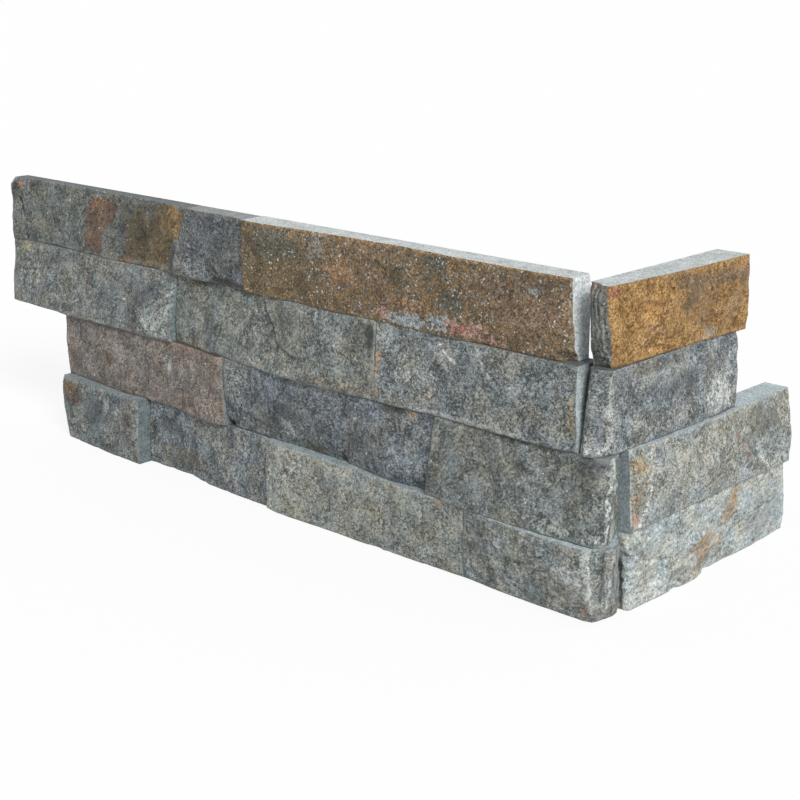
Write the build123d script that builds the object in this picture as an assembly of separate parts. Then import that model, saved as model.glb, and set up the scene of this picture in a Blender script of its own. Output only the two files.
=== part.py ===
from build123d import *
import math
import os
from dataclasses import dataclass
from random import Random

# Stone cladding corner piece: strips of split stone stacked in four rows round a wall corner.
#
# The wall corner is the Z axis and the piece stands on Z = 0. The long arm lies along -X with
# its sawn back on Y = 0 and its split face towards -Y. The return arm lies along +Y with its
# sawn back on X = 0 and its split face towards +X. Rows are counted from the bottom up.
# Sizes are in millimetres. On both arms "along" is the distance from the wall corner and
# "depth" is the distance from the sawn back out to the split face.

# Rows and arms. Each arm's length is taken from the wall corner, in rows 1 and 2 and in rows 3 and 4.
ROW_HEIGHT = 38.1
STONE_DEPTH = 18.0
LONG_ARM_LOWER_LENGTH = 387.0
LONG_ARM_UPPER_LENGTH = 441.0
RETURN_ARM_LOWER_LENGTH = 138.5
RETURN_ARM_UPPER_LENGTH = 90.0

# Lengths of the strips on the long arm, from the corner outwards. The last strip of each row
# runs on to the end of the arm.
ROW_1_STONE_D_LENGTH = 61.0
ROW_1_STONE_C_LENGTH = 141.0
ROW_1_STONE_B_LENGTH = 107.0
ROW_2_STONE_C_LENGTH = 84.0
ROW_2_STONE_B_LENGTH = 153.0
ROW_3_STONE_C_LENGTH = 122.0
ROW_3_STONE_B_LENGTH = 160.0
ROW_4_STONE_C_LENGTH = 213.5
ROW_4_STONE_B_LENGTH = 56.0

# Upper rows: the strip of the long arm stops short of the return strip that laps over its end.
ROW_3_CORNER_GAP = 2.2
ROW_4_CORNER_GAP = 9.5

# Lean of a sawn joint: how much further out its upper end is than its lower end
ROW_1_JOINT_CD_LEAN = -4.5
ROW_3_JOINT_BC_LEAN = 6.5
ROW_4_JOINT_AB_LEAN = -13.0
ROW_3_CORNER_LEAN = 3.6
ROW_1_RETURN_END_LEAN = -4.0
ROW_4_RETURN_END_LEAN = -9.0

# Roughness of the split faces
FACET_LENGTH = 8.0
FACETS_UP = 5
EDGE_ROUGHNESS = 0.4
LUMP_WAVES = 5
SHORTEST_LUMP = 16.0
LONGEST_LUMP = 70.0
FACET_SCATTER = 0.35


@dataclass(frozen=True)
class Joint:
    """A sawn end of a strip: its distance along the arm, halfway up, and its lean."""

    along: float
    lean: float = 0.0

    def at(self, share_up):
        return self.along + self.lean * (share_up - 0.5)


@dataclass(frozen=True)
class Stone:
    """One strip of stone, with its long split face and its two ends.

    near and far are the sawn ends nearest to and furthest from the wall corner. A strip that
    laps over the other arm has no near joint, but a nose: a rough end beyond the corner.
    face lists (share of the length, proud at the lower edge, proud at the upper edge), from
    the near end outwards, where proud is what the split face stands out past STONE_DEPTH.
    nose lists (share of the depth, reach at the lower edge, reach at the upper edge), from
    the back to the face, where reach is what the end runs past the other arm's STONE_DEPTH.
    """

    name: str
    row: int
    on_return: bool
    near: Joint
    far: Joint
    face: tuple
    nose: tuple = ()
    bulge: float = 0.8
    nose_bulge: float = 1.0
    roughness: float = 1.6


def place(stone, along, depth, height):
    """Turn a place on an arm into a point of the model."""
    if stone.on_return:
        return (depth, along, height)
    return (-along, -depth, height)


def lump_field(stone):
    """Make the function of place that gives the low lumps and hollows of a split face."""
    random = Random(stone.name)
    waves = []
    for _ in range(LUMP_WAVES):
        turn = random.uniform(0, math.pi)
        length = random.uniform(SHORTEST_LUMP, LONGEST_LUMP)
        waves.append((math.cos(turn) / length, math.sin(turn) / length, random.random()))

    def lumps(run, rise):
        turns = (run * per_run + rise * per_rise + start for per_run, per_rise, start in waves)
        return stone.roughness * sum(math.sin(2 * math.pi * turn) for turn in turns) / LUMP_WAVES

    return lumps


def face_stations(stone):
    """List the split face's stations as (along low, depth low, along high, depth high)."""
    if stone.nose:
        _, reach_low, reach_high = stone.nose[-1]
        near_low = -(STONE_DEPTH + reach_low)
        near_high = -(STONE_DEPTH + reach_high)
    else:
        near_low = stone.near.at(0)
        near_high = stone.near.at(1)
    stations = []
    for share, proud_low, proud_high in stone.face:
        along_low = near_low + share * (stone.far.at(0) - near_low)
        along_high = near_high + share * (stone.far.at(1) - near_high)
        stations.append((along_low, STONE_DEPTH + proud_low, along_high, STONE_DEPTH + proud_high))
    return stations


def nose_stations(stone):
    """List the rough end's stations, from the back up to, and without, the face."""
    _, depth_low, _, depth_high = face_stations(stone)[0]
    stations = []
    for share, reach_low, reach_high in stone.nose[:-1]:
        along_low = -(STONE_DEPTH + reach_low)
        along_high = -(STONE_DEPTH + reach_high)
        stations.append((along_low, share * depth_low, along_high, share * depth_high))
    return stations


def spread(stations):
    """Add stations between the given ones, so that none is further off than a facet."""
    spaced = []
    for start, end in zip(stations, stations[1:]):
        gap = math.hypot(end[2] - start[2], end[3] - start[3])
        steps = max(1, round(gap / FACET_LENGTH))
        for step in range(steps):
            share = step / steps
            spaced.append(tuple(a + share * (b - a) for a, b in zip(start, end)))
    spaced.append(stations[-1])
    return spaced


def rough_columns(stone):
    """Make the columns of points of everything that is split, each from the bottom up."""
    face = spread(face_stations(stone))
    nose = spread(nose_stations(stone) + face[:1])[:-1] if stone.nose else []
    lumps = lump_field(stone)
    scatter = Random(stone.name + " facets")
    base = (stone.row - 1) * ROW_HEIGHT
    columns = []
    run = 0.0
    for number, (along_low, depth_low, along_high, depth_high) in enumerate(nose + face):
        on_nose = number < len(nose)
        on_back = on_nose and number == 0
        column = []
        for step in range(FACETS_UP + 1):
            up = step / FACETS_UP
            along = along_low + up * (along_high - along_low)
            depth = depth_low + up * (depth_high - depth_low)
            belly = 4 * up * (1 - up)
            edge = EDGE_ROUGHNESS if step in (0, FACETS_UP) else 1.0
            rough = edge * (lumps(run, up * ROW_HEIGHT) + scatter.uniform(-1, 1) * FACET_SCATTER)
            if on_nose and not on_back:
                along -= rough + stone.nose_bulge * belly
            elif not on_nose:
                depth += rough + stone.bulge * belly
            column.append(place(stone, along, depth, base + up * ROW_HEIGHT))
        columns.append(column)
        run += FACET_LENGTH
    return columns


def flat_face(points):
    """Make one flat face from the points round it."""
    return Face(Wire.make_polygon([Vector(*point) for point in points], close=True))


def build_stone(stone):
    """Make the closed solid of one strip: sawn top, bed, back and ends, and a split face."""
    columns = rough_columns(stone)
    base = (stone.row - 1) * ROW_HEIGHT
    top = base + ROW_HEIGHT
    far_back = [
        place(stone, stone.far.at(0), 0, base),
        place(stone, stone.far.at(1), 0, top),
    ]
    faces = []
    if stone.nose:
        near_back = columns[0]
        rim = columns
    else:
        near_back = [
            place(stone, stone.near.at(0), 0, base),
            place(stone, stone.near.at(1), 0, top),
        ]
        rim = [near_back] + columns
        faces.append(flat_face(near_back + columns[0][::-1]))
    faces.append(flat_face(columns[-1] + far_back[::-1]))
    faces.append(flat_face(near_back + far_back[::-1]))
    faces.append(flat_face([column[0] for column in rim] + [far_back[0]]))
    faces.append(flat_face([column[-1] for column in rim] + [far_back[-1]]))
    for number, (left, right) in enumerate(zip(columns, columns[1:])):
        for step in range(FACETS_UP):
            low_left, high_left = left[step], left[step + 1]
            low_right, high_right = right[step], right[step + 1]
            if (number + step) % 2:
                faces.append(flat_face([low_left, low_right, high_right]))
                faces.append(flat_face([low_left, high_right, high_left]))
            else:
                faces.append(flat_face([low_left, low_right, high_left]))
                faces.append(flat_face([low_right, high_right, high_left]))
    return Solid(Shell(faces))


# Joints of the long arm, worked out from the corner outwards
row_1_joint_cd = Joint(ROW_1_STONE_D_LENGTH, ROW_1_JOINT_CD_LEAN)
row_1_joint_bc = Joint(ROW_1_STONE_D_LENGTH + ROW_1_STONE_C_LENGTH)
row_1_joint_ab = Joint(row_1_joint_bc.along + ROW_1_STONE_B_LENGTH)
row_2_joint_bc = Joint(ROW_2_STONE_C_LENGTH)
row_2_joint_ab = Joint(row_2_joint_bc.along + ROW_2_STONE_B_LENGTH)
row_3_corner = Joint(ROW_3_CORNER_GAP, ROW_3_CORNER_LEAN)
row_3_joint_bc = Joint(ROW_3_CORNER_GAP + ROW_3_STONE_C_LENGTH, ROW_3_JOINT_BC_LEAN)
row_3_joint_ab = Joint(row_3_joint_bc.along + ROW_3_STONE_B_LENGTH)
row_4_corner = Joint(ROW_4_CORNER_GAP)
row_4_joint_bc = Joint(ROW_4_CORNER_GAP + ROW_4_STONE_C_LENGTH)
row_4_joint_ab = Joint(row_4_joint_bc.along + ROW_4_STONE_B_LENGTH, ROW_4_JOINT_AB_LEAN)
long_end_lower = Joint(LONG_ARM_LOWER_LENGTH)
long_end_upper = Joint(LONG_ARM_UPPER_LENGTH)

# Joints of the return arm. Its lower strips butt on the back of the long arm's corner strips.
wall_corner = Joint(0.0)
return_end_lower = Joint(RETURN_ARM_LOWER_LENGTH)
return_end_upper = Joint(RETURN_ARM_UPPER_LENGTH)
return_end_bottom = Joint(RETURN_ARM_LOWER_LENGTH, ROW_1_RETURN_END_LEAN)
return_end_top = Joint(RETURN_ARM_UPPER_LENGTH, ROW_4_RETURN_END_LEAN)

ROW_1 = (
    Stone(
        "row_1_stone_a", 1, False, row_1_joint_ab, long_end_lower,
        face=((0, 6.5, 5), (0.3, 6, 6), (0.65, 4.5, 3.5), (0.95, 2.5, 5), (1, -0.5, 2)),
    ),
    Stone(
        "row_1_stone_b", 1, False, row_1_joint_bc, row_1_joint_ab,
        face=((0, 1.8, 0), (0.48, 1.6, -1), (0.56, -0.5, -1.5), (0.66, -3.2, -2.5), (1, -2.5, -3)),
    ),
    Stone(
        "row_1_stone_c", 1, False, row_1_joint_cd, row_1_joint_bc,
        face=((0, 2.6, 8.5), (0.3, 4, 8.5), (0.52, 4.5, 5), (0.95, 5.5, 4.5), (1, 3.5, 2.5)),
    ),
    Stone(
        "row_1_stone_d", 1, False, wall_corner, row_1_joint_cd,
        face=((0, 3.6, 12.5), (0.15, 4, 14), (0.5, 4.2, 13.2), (0.75, 4.2, 12), (1, 2.6, 9.5)),
        nose=((0, -7, -9), (0.15, -4.3, -5), (0.4, -3.4, 1), (0.6, -3.8, 3.5), (1, -4.5, -2.5)),
    ),
    Stone(
        "row_1_return_stone", 1, True, wall_corner, return_end_bottom,
        face=((0, -1, -4), (0.03, -0.6, -3), (0.4, 0.2, -2), (0.48, -3.6, -2), (0.75, -2.6, -2.5),
              (1, -4.7, -3)),
    ),
)

ROW_2 = (
    Stone(
        "row_2_stone_a", 2, False, row_2_joint_ab, long_end_lower,
        face=((0, 1.5, 2.3), (0.04, 3.8, 3.5), (0.11, 4.4, 0.5), (0.33, -1.5, -2), (0.6, 0.3, -1.5),
              (1, -4, -3)),
    ),
    Stone(
        "row_2_stone_b", 2, False, row_2_joint_bc, row_2_joint_ab,
        face=((0, 2.2, 1), (0.16, 5, 2), (0.34, 1.5, 3.5), (0.46, -1.5, 4.2), (0.92, -1.2, 2.5),
              (1, -0.5, 1)),
    ),
    Stone(
        "row_2_stone_c", 2, False, wall_corner, row_2_joint_bc,
        face=((0, 8.5, 0.3), (0.1, 10, 0.5), (0.3, 11.5, 0.5), (0.6, 11, 0.5), (0.85, 10, 0.5),
              (1, 7.5, 1)),
        nose=((0, -8.5, -9.5), (0.3, -3.8, -5.5), (0.6, -0.5, -3), (0.85, 0.6, -2), (1, -1.5, -3)),
    ),
    Stone(
        "row_2_return_stone", 2, True, wall_corner, return_end_lower,
        face=((0, -1, -4.5), (0.05, 0, -4), (0.13, -1, -1.5), (0.27, -0.9, -1.1), (0.6, -1.8, -2.5),
              (0.84, 0, -3.4), (1, -1, -4.5)),
    ),
)

ROW_3 = (
    Stone(
        "row_3_stone_a", 3, False, row_3_joint_ab, long_end_upper,
        face=((0, -1, -7.2), (0.1, 1, -6.5), (0.35, 0.5, -6), (0.62, 1.2, -7), (0.8, -0.7, -8),
              (0.97, -1.5, -7), (1, -2.5, -5)),
    ),
    Stone(
        "row_3_stone_b", 3, False, row_3_joint_bc, row_3_joint_ab,
        face=((0, 3.8, -4), (0.17, 6.3, -3.5), (0.4, 7, -3.5), (0.52, 4.6, -4.5), (0.67, 2, -6),
              (0.8, -0.5, -7), (1, -4.8, -7.5)),
    ),
    Stone(
        "row_3_stone_c", 3, False, row_3_corner, row_3_joint_bc,
        face=((0, 1, -2.5), (0.1, 2.7, -2.5), (0.3, 3.5, -3), (0.5, 2.1, -3.5), (0.7, 1.5, -3.5),
              (0.88, 4, -3.5), (1, 3.8, -4)),
    ),
    Stone(
        "row_3_return_stone", 3, True, wall_corner, return_end_upper,
        face=((0, -9, -6.5), (0.04, -6.5, -6.5), (0.1, -5.3, -6.5), (0.45, -4.5, -7),
              (0.7, -4.5, -7.5), (1, -5, -7)),
        nose=((0, -1, -7), (0.2, 1.8, -5.5), (0.5, 2.4, -5), (1, 0.8, -6.5)),
    ),
)

ROW_4 = (
    Stone(
        "row_4_stone_a", 4, False, row_4_joint_ab, long_end_upper,
        face=((0, -5, -6), (0.12, -7.4, -8.5), (0.35, -5.5, -10), (0.75, -8.2, -10.5),
              (0.92, -7.4, -10), (1, -5, -5.5)),
    ),
    Stone(
        "row_4_stone_b", 4, False, row_4_joint_bc, row_4_joint_ab,
        face=((0, -4.4, -3.5), (0.35, -3.7, -5), (0.7, -3.4, -3.5), (1, -4.5, -5.5)),
    ),
    Stone(
        "row_4_stone_c", 4, False, row_4_corner, row_4_joint_bc,
        face=((0, -9, -4), (0.03, -3.6, -3.8), (0.15, -3.8, -3.5), (0.3, -2.2, -4.4),
              (0.47, -2.6, -6.4), (0.63, -3, -6.2), (0.79, -2.8, -3.4), (1, -2.5, -1.5)),
    ),
    Stone(
        "row_4_return_stone", 4, True, wall_corner, return_end_top,
        face=((0, -8.5, -5.7), (0.18, -7.9, -4.5), (0.43, -8, -2), (0.7, -6.6, -1), (1, -5.5, -0.4)),
        nose=((0, -6.5, -4.5), (0.3, -8, -3), (0.7, -9.5, -1.5), (1, -10, -1.5)),
        nose_bulge=3.0,
    ),
)


os.makedirs("parts", exist_ok=True)
for stone in ROW_1 + ROW_2 + ROW_3 + ROW_4:
    solid = build_stone(stone)
    solid.label = stone.name
    export_step(solid, f"parts/{stone.name}.step")
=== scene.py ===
"""The look of a stone cladding corner piece: strips of split and sawn stone laid round a wall corner."""

import logging
import math
from dataclasses import dataclass, replace
from enum import Enum

import bmesh
import bpy
import numpy as np
from mathutils import Euler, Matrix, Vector


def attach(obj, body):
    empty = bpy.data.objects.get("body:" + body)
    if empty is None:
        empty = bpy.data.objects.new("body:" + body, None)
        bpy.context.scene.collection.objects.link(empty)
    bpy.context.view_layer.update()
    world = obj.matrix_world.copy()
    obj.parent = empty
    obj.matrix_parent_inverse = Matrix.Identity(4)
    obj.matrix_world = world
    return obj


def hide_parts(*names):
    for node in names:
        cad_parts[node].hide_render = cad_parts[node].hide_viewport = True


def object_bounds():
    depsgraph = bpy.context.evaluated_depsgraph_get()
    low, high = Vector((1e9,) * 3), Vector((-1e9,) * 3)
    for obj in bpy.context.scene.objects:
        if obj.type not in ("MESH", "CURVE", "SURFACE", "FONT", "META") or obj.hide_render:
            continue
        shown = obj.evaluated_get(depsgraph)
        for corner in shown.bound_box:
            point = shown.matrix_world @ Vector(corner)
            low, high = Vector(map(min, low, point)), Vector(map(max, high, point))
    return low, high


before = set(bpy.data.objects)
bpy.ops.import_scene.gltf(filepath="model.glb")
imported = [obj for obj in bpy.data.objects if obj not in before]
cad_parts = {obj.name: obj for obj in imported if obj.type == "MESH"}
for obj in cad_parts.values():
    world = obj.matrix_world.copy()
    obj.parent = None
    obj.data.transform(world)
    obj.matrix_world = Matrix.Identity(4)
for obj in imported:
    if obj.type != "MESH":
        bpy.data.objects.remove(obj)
CAD_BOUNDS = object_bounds()

log = logging.getLogger("cladding_corner")

MM = 0.001
TINY = 1e-9
ROW_COUNT = 4
ROW_HEIGHT_MM = (CAD_BOUNDS[1][2] - CAD_BOUNDS[0][2]) / ROW_COUNT / MM

Colour = tuple[float, float, float]
Line = tuple[tuple[float, float], ...]


class Side(Enum):
    """The arm of the corner that a strip belongs to."""

    LONG = "long arm"
    RETURN = "return arm"


class Pigment(Enum):
    """Linear colours of the discoloured, pale and dark places in the stone. SHADE also serves as painted
    shade in cracks, in a closed gap and under an overhang, and MILK and PALE as painted highlights along
    arrises of noses.
    """

    RUST = (0.146, 0.100, 0.073)
    OLIVE = (0.108, 0.090, 0.057)
    GOLD = (0.168, 0.122, 0.066)
    MOSS = (0.115, 0.110, 0.084)
    ORANGE = (0.270, 0.160, 0.092)
    PINK = (0.340, 0.205, 0.160)
    RED = (0.310, 0.115, 0.085)
    BLUE = (0.290, 0.320, 0.325)
    SLATE = (0.105, 0.116, 0.122)
    BROWN = (0.205, 0.140, 0.090)
    UMBER = (0.205, 0.145, 0.092)
    BUFF = (0.230, 0.205, 0.170)
    TAN = (0.300, 0.240, 0.175)
    OCHRE = (0.300, 0.260, 0.170)
    HONEY = (0.380, 0.240, 0.115)
    AMBER = (0.480, 0.270, 0.100)
    PALE = (0.330, 0.350, 0.330)
    CREAM = (0.580, 0.590, 0.555)
    LICHEN = (0.150, 0.158, 0.140)
    MILK = (0.440, 0.460, 0.435)
    SHADE = (0.050, 0.052, 0.048)


# The pigments' names for short, in the same order.
(
    RUST, OLIVE, GOLD, MOSS, ORANGE, PINK, RED, BLUE, SLATE, BROWN, UMBER,
    BUFF, TAN, OCHRE, HONEY, AMBER, PALE, CREAM, LICHEN, MILK, SHADE,
) = Pigment


class Noise:
    """Seeded gradient noise in space, read at many points at once.

    STRENGTH brings its values to about -1 to 1, and SHRINK is how much finer each next layer is.
    """

    TABLE = 256
    STRENGTH = 1.6
    SHRINK = 2.03
    CORNERS = tuple((i, j, k) for i in (0, 1) for j in (0, 1) for k in (0, 1))
    NEIGHBOURS = tuple((i, j, k) for i in (-1, 0, 1) for j in (-1, 0, 1) for k in (-1, 0, 1))

    def __init__(self, seed: int) -> None:
        """Draw the noise's tables.

        Args:
            seed: The number that picks one pattern of noise.
        """
        random = np.random.default_rng(seed)
        self.order = random.permutation(self.TABLE)
        slopes = random.normal(size=(self.TABLE, 3))
        self.slopes = slopes / np.linalg.norm(slopes, axis=1, keepdims=True)
        self.places = random.random((self.TABLE, 3))
        self.shift = random.uniform(0, 50, 3)

    def pick(self, cells: np.ndarray) -> np.ndarray:
        """Give each lattice cell its place in the tables.

        Args:
            cells: Whole-numbered cells, one row each.

        Returns:
            One index for each cell.
        """
        index = self.order[cells[:, 0] % self.TABLE]
        index = self.order[(index + cells[:, 1]) % self.TABLE]
        return self.order[(index + cells[:, 2]) % self.TABLE]

    def soft(self, points: np.ndarray, size: float) -> np.ndarray:
        """Read smooth noise.

        Args:
            points: Points, one row each.
            size: The width of a lump, in the points' unit.

        Returns:
            Values of about -1 to 1.
        """
        scaled = points / size + self.shift
        cells = np.floor(scaled).astype(np.int64)
        inside = scaled - cells
        blend = inside ** 3 * (inside * (inside * 6 - 15) + 10)
        total = np.zeros(len(points))
        for corner in self.CORNERS:
            corner = np.array(corner)
            slope = self.slopes[self.pick(cells + corner)]
            weight = np.prod(np.where(corner, blend, 1 - blend), axis=1)
            total += weight * np.einsum("ij,ij->i", slope, inside - corner)
        return total * self.STRENGTH

    def layered(self, points: np.ndarray, size: float, layers: int, fade: float = 0.5) -> np.ndarray:
        """Add up noise of halving size.

        Args:
            points: Points, one row each.
            size: The width of the largest lumps.
            layers: How many sizes are added.
            fade: How much of each layer's strength the next one has.

        Returns:
            Values of about -1 to 1.
        """
        total = np.zeros(len(points))
        strength = 1.0
        for _ in range(layers):
            total += strength * self.soft(points, size)
            size /= self.SHRINK
            strength *= fade
        return total

    def facets(self, points: np.ndarray, size: float) -> np.ndarray:
        """Read a heap of flat facets, each tilted its own way.

        Args:
            points: Points, one row each.
            size: The width of a facet.

        Returns:
            Heights of about -size/2 to size/2.
        """
        scaled = points / size + self.shift
        cells = np.floor(scaled).astype(np.int64)
        nearest = np.full(len(points), np.inf)
        height = np.zeros(len(points))
        for neighbour in self.NEIGHBOURS:
            cell = cells + np.array(neighbour)
            index = self.pick(cell)
            offset = scaled - cell - self.places[index]
            gap = np.einsum("ij,ij->i", offset, offset)
            closer = gap < nearest
            nearest = np.where(closer, gap, nearest)
            height = np.where(closer, np.einsum("ij,ij->i", offset, self.slopes[index]), height)
        return height * size


def step_between(values: np.ndarray, low: float, high: float) -> np.ndarray:
    """Rise smoothly from 0 at low to 1 at high.

    Args:
        values: The numbers to turn into shares.
        low: Where the share is 0.
        high: Where the share is 1.

    Returns:
        One share for each value.
    """
    share = np.clip((values - low) / (high - low), 0, 1)
    return share * share * (3 - 2 * share)


def line_distance(points: np.ndarray, line: Line) -> tuple[np.ndarray, np.ndarray]:
    """Measure how far points lie from a broken line, and on which side.

    Args:
        points: Points in the plane, one row each.
        line: The line's points.

    Returns:
        The distance to the line, and the same with a minus sign to the line's right.
    """
    nearest = np.full(len(points), np.inf)
    signed = np.zeros(len(points))
    for start, end in zip(line, line[1:]):
        start = np.array(start, float)
        run = np.array(end, float) - start
        offset = points - start
        share = np.clip(offset @ run / (run @ run), 0, 1)
        gap = np.linalg.norm(offset - share[:, None] * run, axis=1)
        side = np.sign(run[0] * offset[:, 1] - run[1] * offset[:, 0])
        closer = gap < nearest
        signed = np.where(closer, gap * side, signed)
        nearest = np.where(closer, gap, nearest)
    return nearest, signed


def wandering(arm: np.ndarray, noise: Noise, size: float, reach: float, across: int = 0) -> np.ndarray:
    """Lay points in the plane of a split face, so shifted that a line drawn there wanders.

    Args:
        arm: Points as along, depth and up.
        noise: The strip's noise.
        size: The width of the largest bends.
        reach: How far the line wanders.
        across: Which column is taken beside up: 0 for along, or 1 for depth.

    Returns:
        Points in the plane, one row each.
    """
    wander = noise.layered(arm, size, 3) * reach
    return np.column_stack([arm[:, across] + wander, arm[:, 2] + wander])


@dataclass(frozen=True)
class Patch:
    """A stain, or a paler or darker place, on a strip. Sizes are in millimetres.

    along, up and depth are its middle, from the wall corner, the strip's bed and its back. half is
    its half width and half height. deep is how far it reaches in depth each way. soft is how wide its
    fading border is, as a share of its size.
    """

    along: float
    up: float
    half: tuple[float, float]
    pigment: Pigment
    strength: float = 0.8
    turn: float = 0.0
    depth: float = 18.0
    deep: float = 60.0
    ragged: float = 0.35
    soft: float = 0.9

    FRAY_SHARE = 0.9
    FINEST_FRAY_MM = 2.0

    def amount(self, arm: np.ndarray, noise: Noise) -> np.ndarray:
        """Work out how much of the patch lies at each point.

        Args:
            arm: Points as along, depth and up.
            noise: The strip's noise, which frays the patch's edge.

        Returns:
            Shares from 0 to 1.
        """
        angle = math.radians(self.turn)
        run = arm[:, 0] - self.along
        rise = arm[:, 2] - self.up
        across = (run * math.cos(angle) + rise * math.sin(angle)) / self.half[0]
        upward = (rise * math.cos(angle) - run * math.sin(angle)) / self.half[1]
        inward = (arm[:, 1] - self.depth) / self.deep
        reach = np.sqrt(across ** 2 + upward ** 2 + inward ** 2)
        fray_mm = max(min(self.half) * self.FRAY_SHARE, self.FINEST_FRAY_MM)
        fray = noise.layered(arm, fray_mm, 3) * self.ragged
        return self.strength * step_between(1 + self.soft / 2 - reach + fray, 0.0, self.soft)


@dataclass(frozen=True)
class Scar:
    """A broken line on a split face: a crack, or the step along a flake's edge. In millimetres.

    line is in along and up. groove is how deep the line is cut. step is how far the face to the
    line's left stands out, fading over fade.
    """

    line: Line
    groove: float = 0.0
    step: float = 0.0
    width: float = 0.9
    fade: float = 14.0

    BEND_MM = 6.0
    WANDER_MM = 1.2

    def lift(self, arm: np.ndarray, noise: Noise) -> np.ndarray:
        """Work out how far the face moves out at each point.

        Args:
            arm: Points as along, depth and up.
            noise: The strip's noise, which makes the line wander.

        Returns:
            Millimetres outwards.
        """
        flat = wandering(arm, noise, self.BEND_MM, self.WANDER_MM)
        nearest, signed = line_distance(flat, self.line)
        cut = -self.groove * (1 - step_between(nearest, 0.0, self.width))
        to_the_left = step_between(signed, -self.width / 2, self.width / 2)
        return cut + self.step * (to_the_left * (1 - step_between(nearest, 0.0, self.fade)))


@dataclass(frozen=True)
class Vein:
    """A thin coloured line on a split face: its points, its colour and its half width, in millimetres. Some
    veins are painted shade and some are painted highlights.

    The points are along and up. On the strip's own end they are depth and up instead, and beyond is
    where that end begins. FULL and GONE are the shares of half at which the colour starts to fade and
    has faded.
    """

    line: Line
    pigment: Pigment
    strength: float = 0.7
    half: float = 1.0
    beyond: float | None = None

    BEND_MM = 4.0
    WANDER_MM = 0.9
    PATCHY_MM = 3.0
    FULL = 0.3
    GONE = 1.6
    END_BLUR_MM = 1.5

    def amount(self, arm: np.ndarray, noise: Noise) -> np.ndarray:
        """Work out how much of the vein lies at each point.

        Args:
            arm: Points as along, depth and up.
            noise: The strip's noise, which makes the line wander.

        Returns:
            Shares from 0 to 1.
        """
        across = 0 if self.beyond is None else 1
        flat = wandering(arm, noise, self.BEND_MM, self.WANDER_MM, across)
        nearest, _ = line_distance(flat, self.line)
        patchy = 0.8 + 0.2 * np.clip(noise.soft(arm, self.PATCHY_MM) * 2, -1, 1)
        if self.beyond is not None:
            patchy = patchy * step_between(-arm[:, 0], -self.beyond, self.END_BLUR_MM - self.beyond)
        faded = step_between(nearest, self.FULL * self.half, self.GONE * self.half)
        return self.strength * patchy * (1 - faded)


@dataclass(frozen=True)
class Chip:
    """A bite out of a strip's edge: its middle as along, depth and up, its radius and its depth of cut."""

    along: float
    depth: float
    up: float
    radius: float
    cut: float

    FRAY_MM = 5.0
    FRAY = 0.35
    DEEPEST = 0.25

    def bite(self, arm: np.ndarray, noise: Noise) -> np.ndarray:
        """Work out how far each point moves in.

        Args:
            arm: Points as along, depth and up.
            noise: The strip's noise, which frays the bite.

        Returns:
            Millimetres inwards.
        """
        gap = np.linalg.norm(arm - np.array([self.along, self.depth, self.up]), axis=1)
        fray = 1 + self.FRAY * noise.layered(arm, self.FRAY_MM, 3)
        return self.cut * (1 - step_between(gap * fray, self.DEEPEST * self.radius, self.radius))


class Wire:
    """One output of a shader node, which takes part in sums like a number."""

    def __init__(self, shader: "Shader", socket: bpy.types.NodeSocket) -> None:
        """Keep the output and the shader that it belongs to.

        Args:
            shader: The shader that adds the nodes of a sum.
            socket: The node's output.
        """
        self.shader = shader
        self.socket = socket

    def _maths(self, operation: str, *values: "Wire | float") -> "Wire":
        """Add a Math node on these values."""
        return self.shader.node("ShaderNodeMath", {"operation": operation}, dict(enumerate(values)))

    def __add__(self, other: "Wire | float") -> "Wire":
        """Add."""
        return self._maths("ADD", self, other)

    def __radd__(self, other: float) -> "Wire":
        """Add to a number."""
        return self._maths("ADD", other, self)

    def __sub__(self, other: "Wire | float") -> "Wire":
        """Subtract."""
        return self._maths("SUBTRACT", self, other)

    def __rsub__(self, other: float) -> "Wire":
        """Subtract from a number."""
        return self._maths("SUBTRACT", other, self)

    def __mul__(self, other: "Wire | float") -> "Wire":
        """Multiply."""
        return self._maths("MULTIPLY", self, other)

    def __rmul__(self, other: float) -> "Wire":
        """Multiply a number."""
        return self._maths("MULTIPLY", other, self)

    def clamped(self) -> "Wire":
        """Hold the value between 0 and 1."""
        return self._maths("MINIMUM", self._maths("MAXIMUM", self, 0.0), 1.0)


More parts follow.
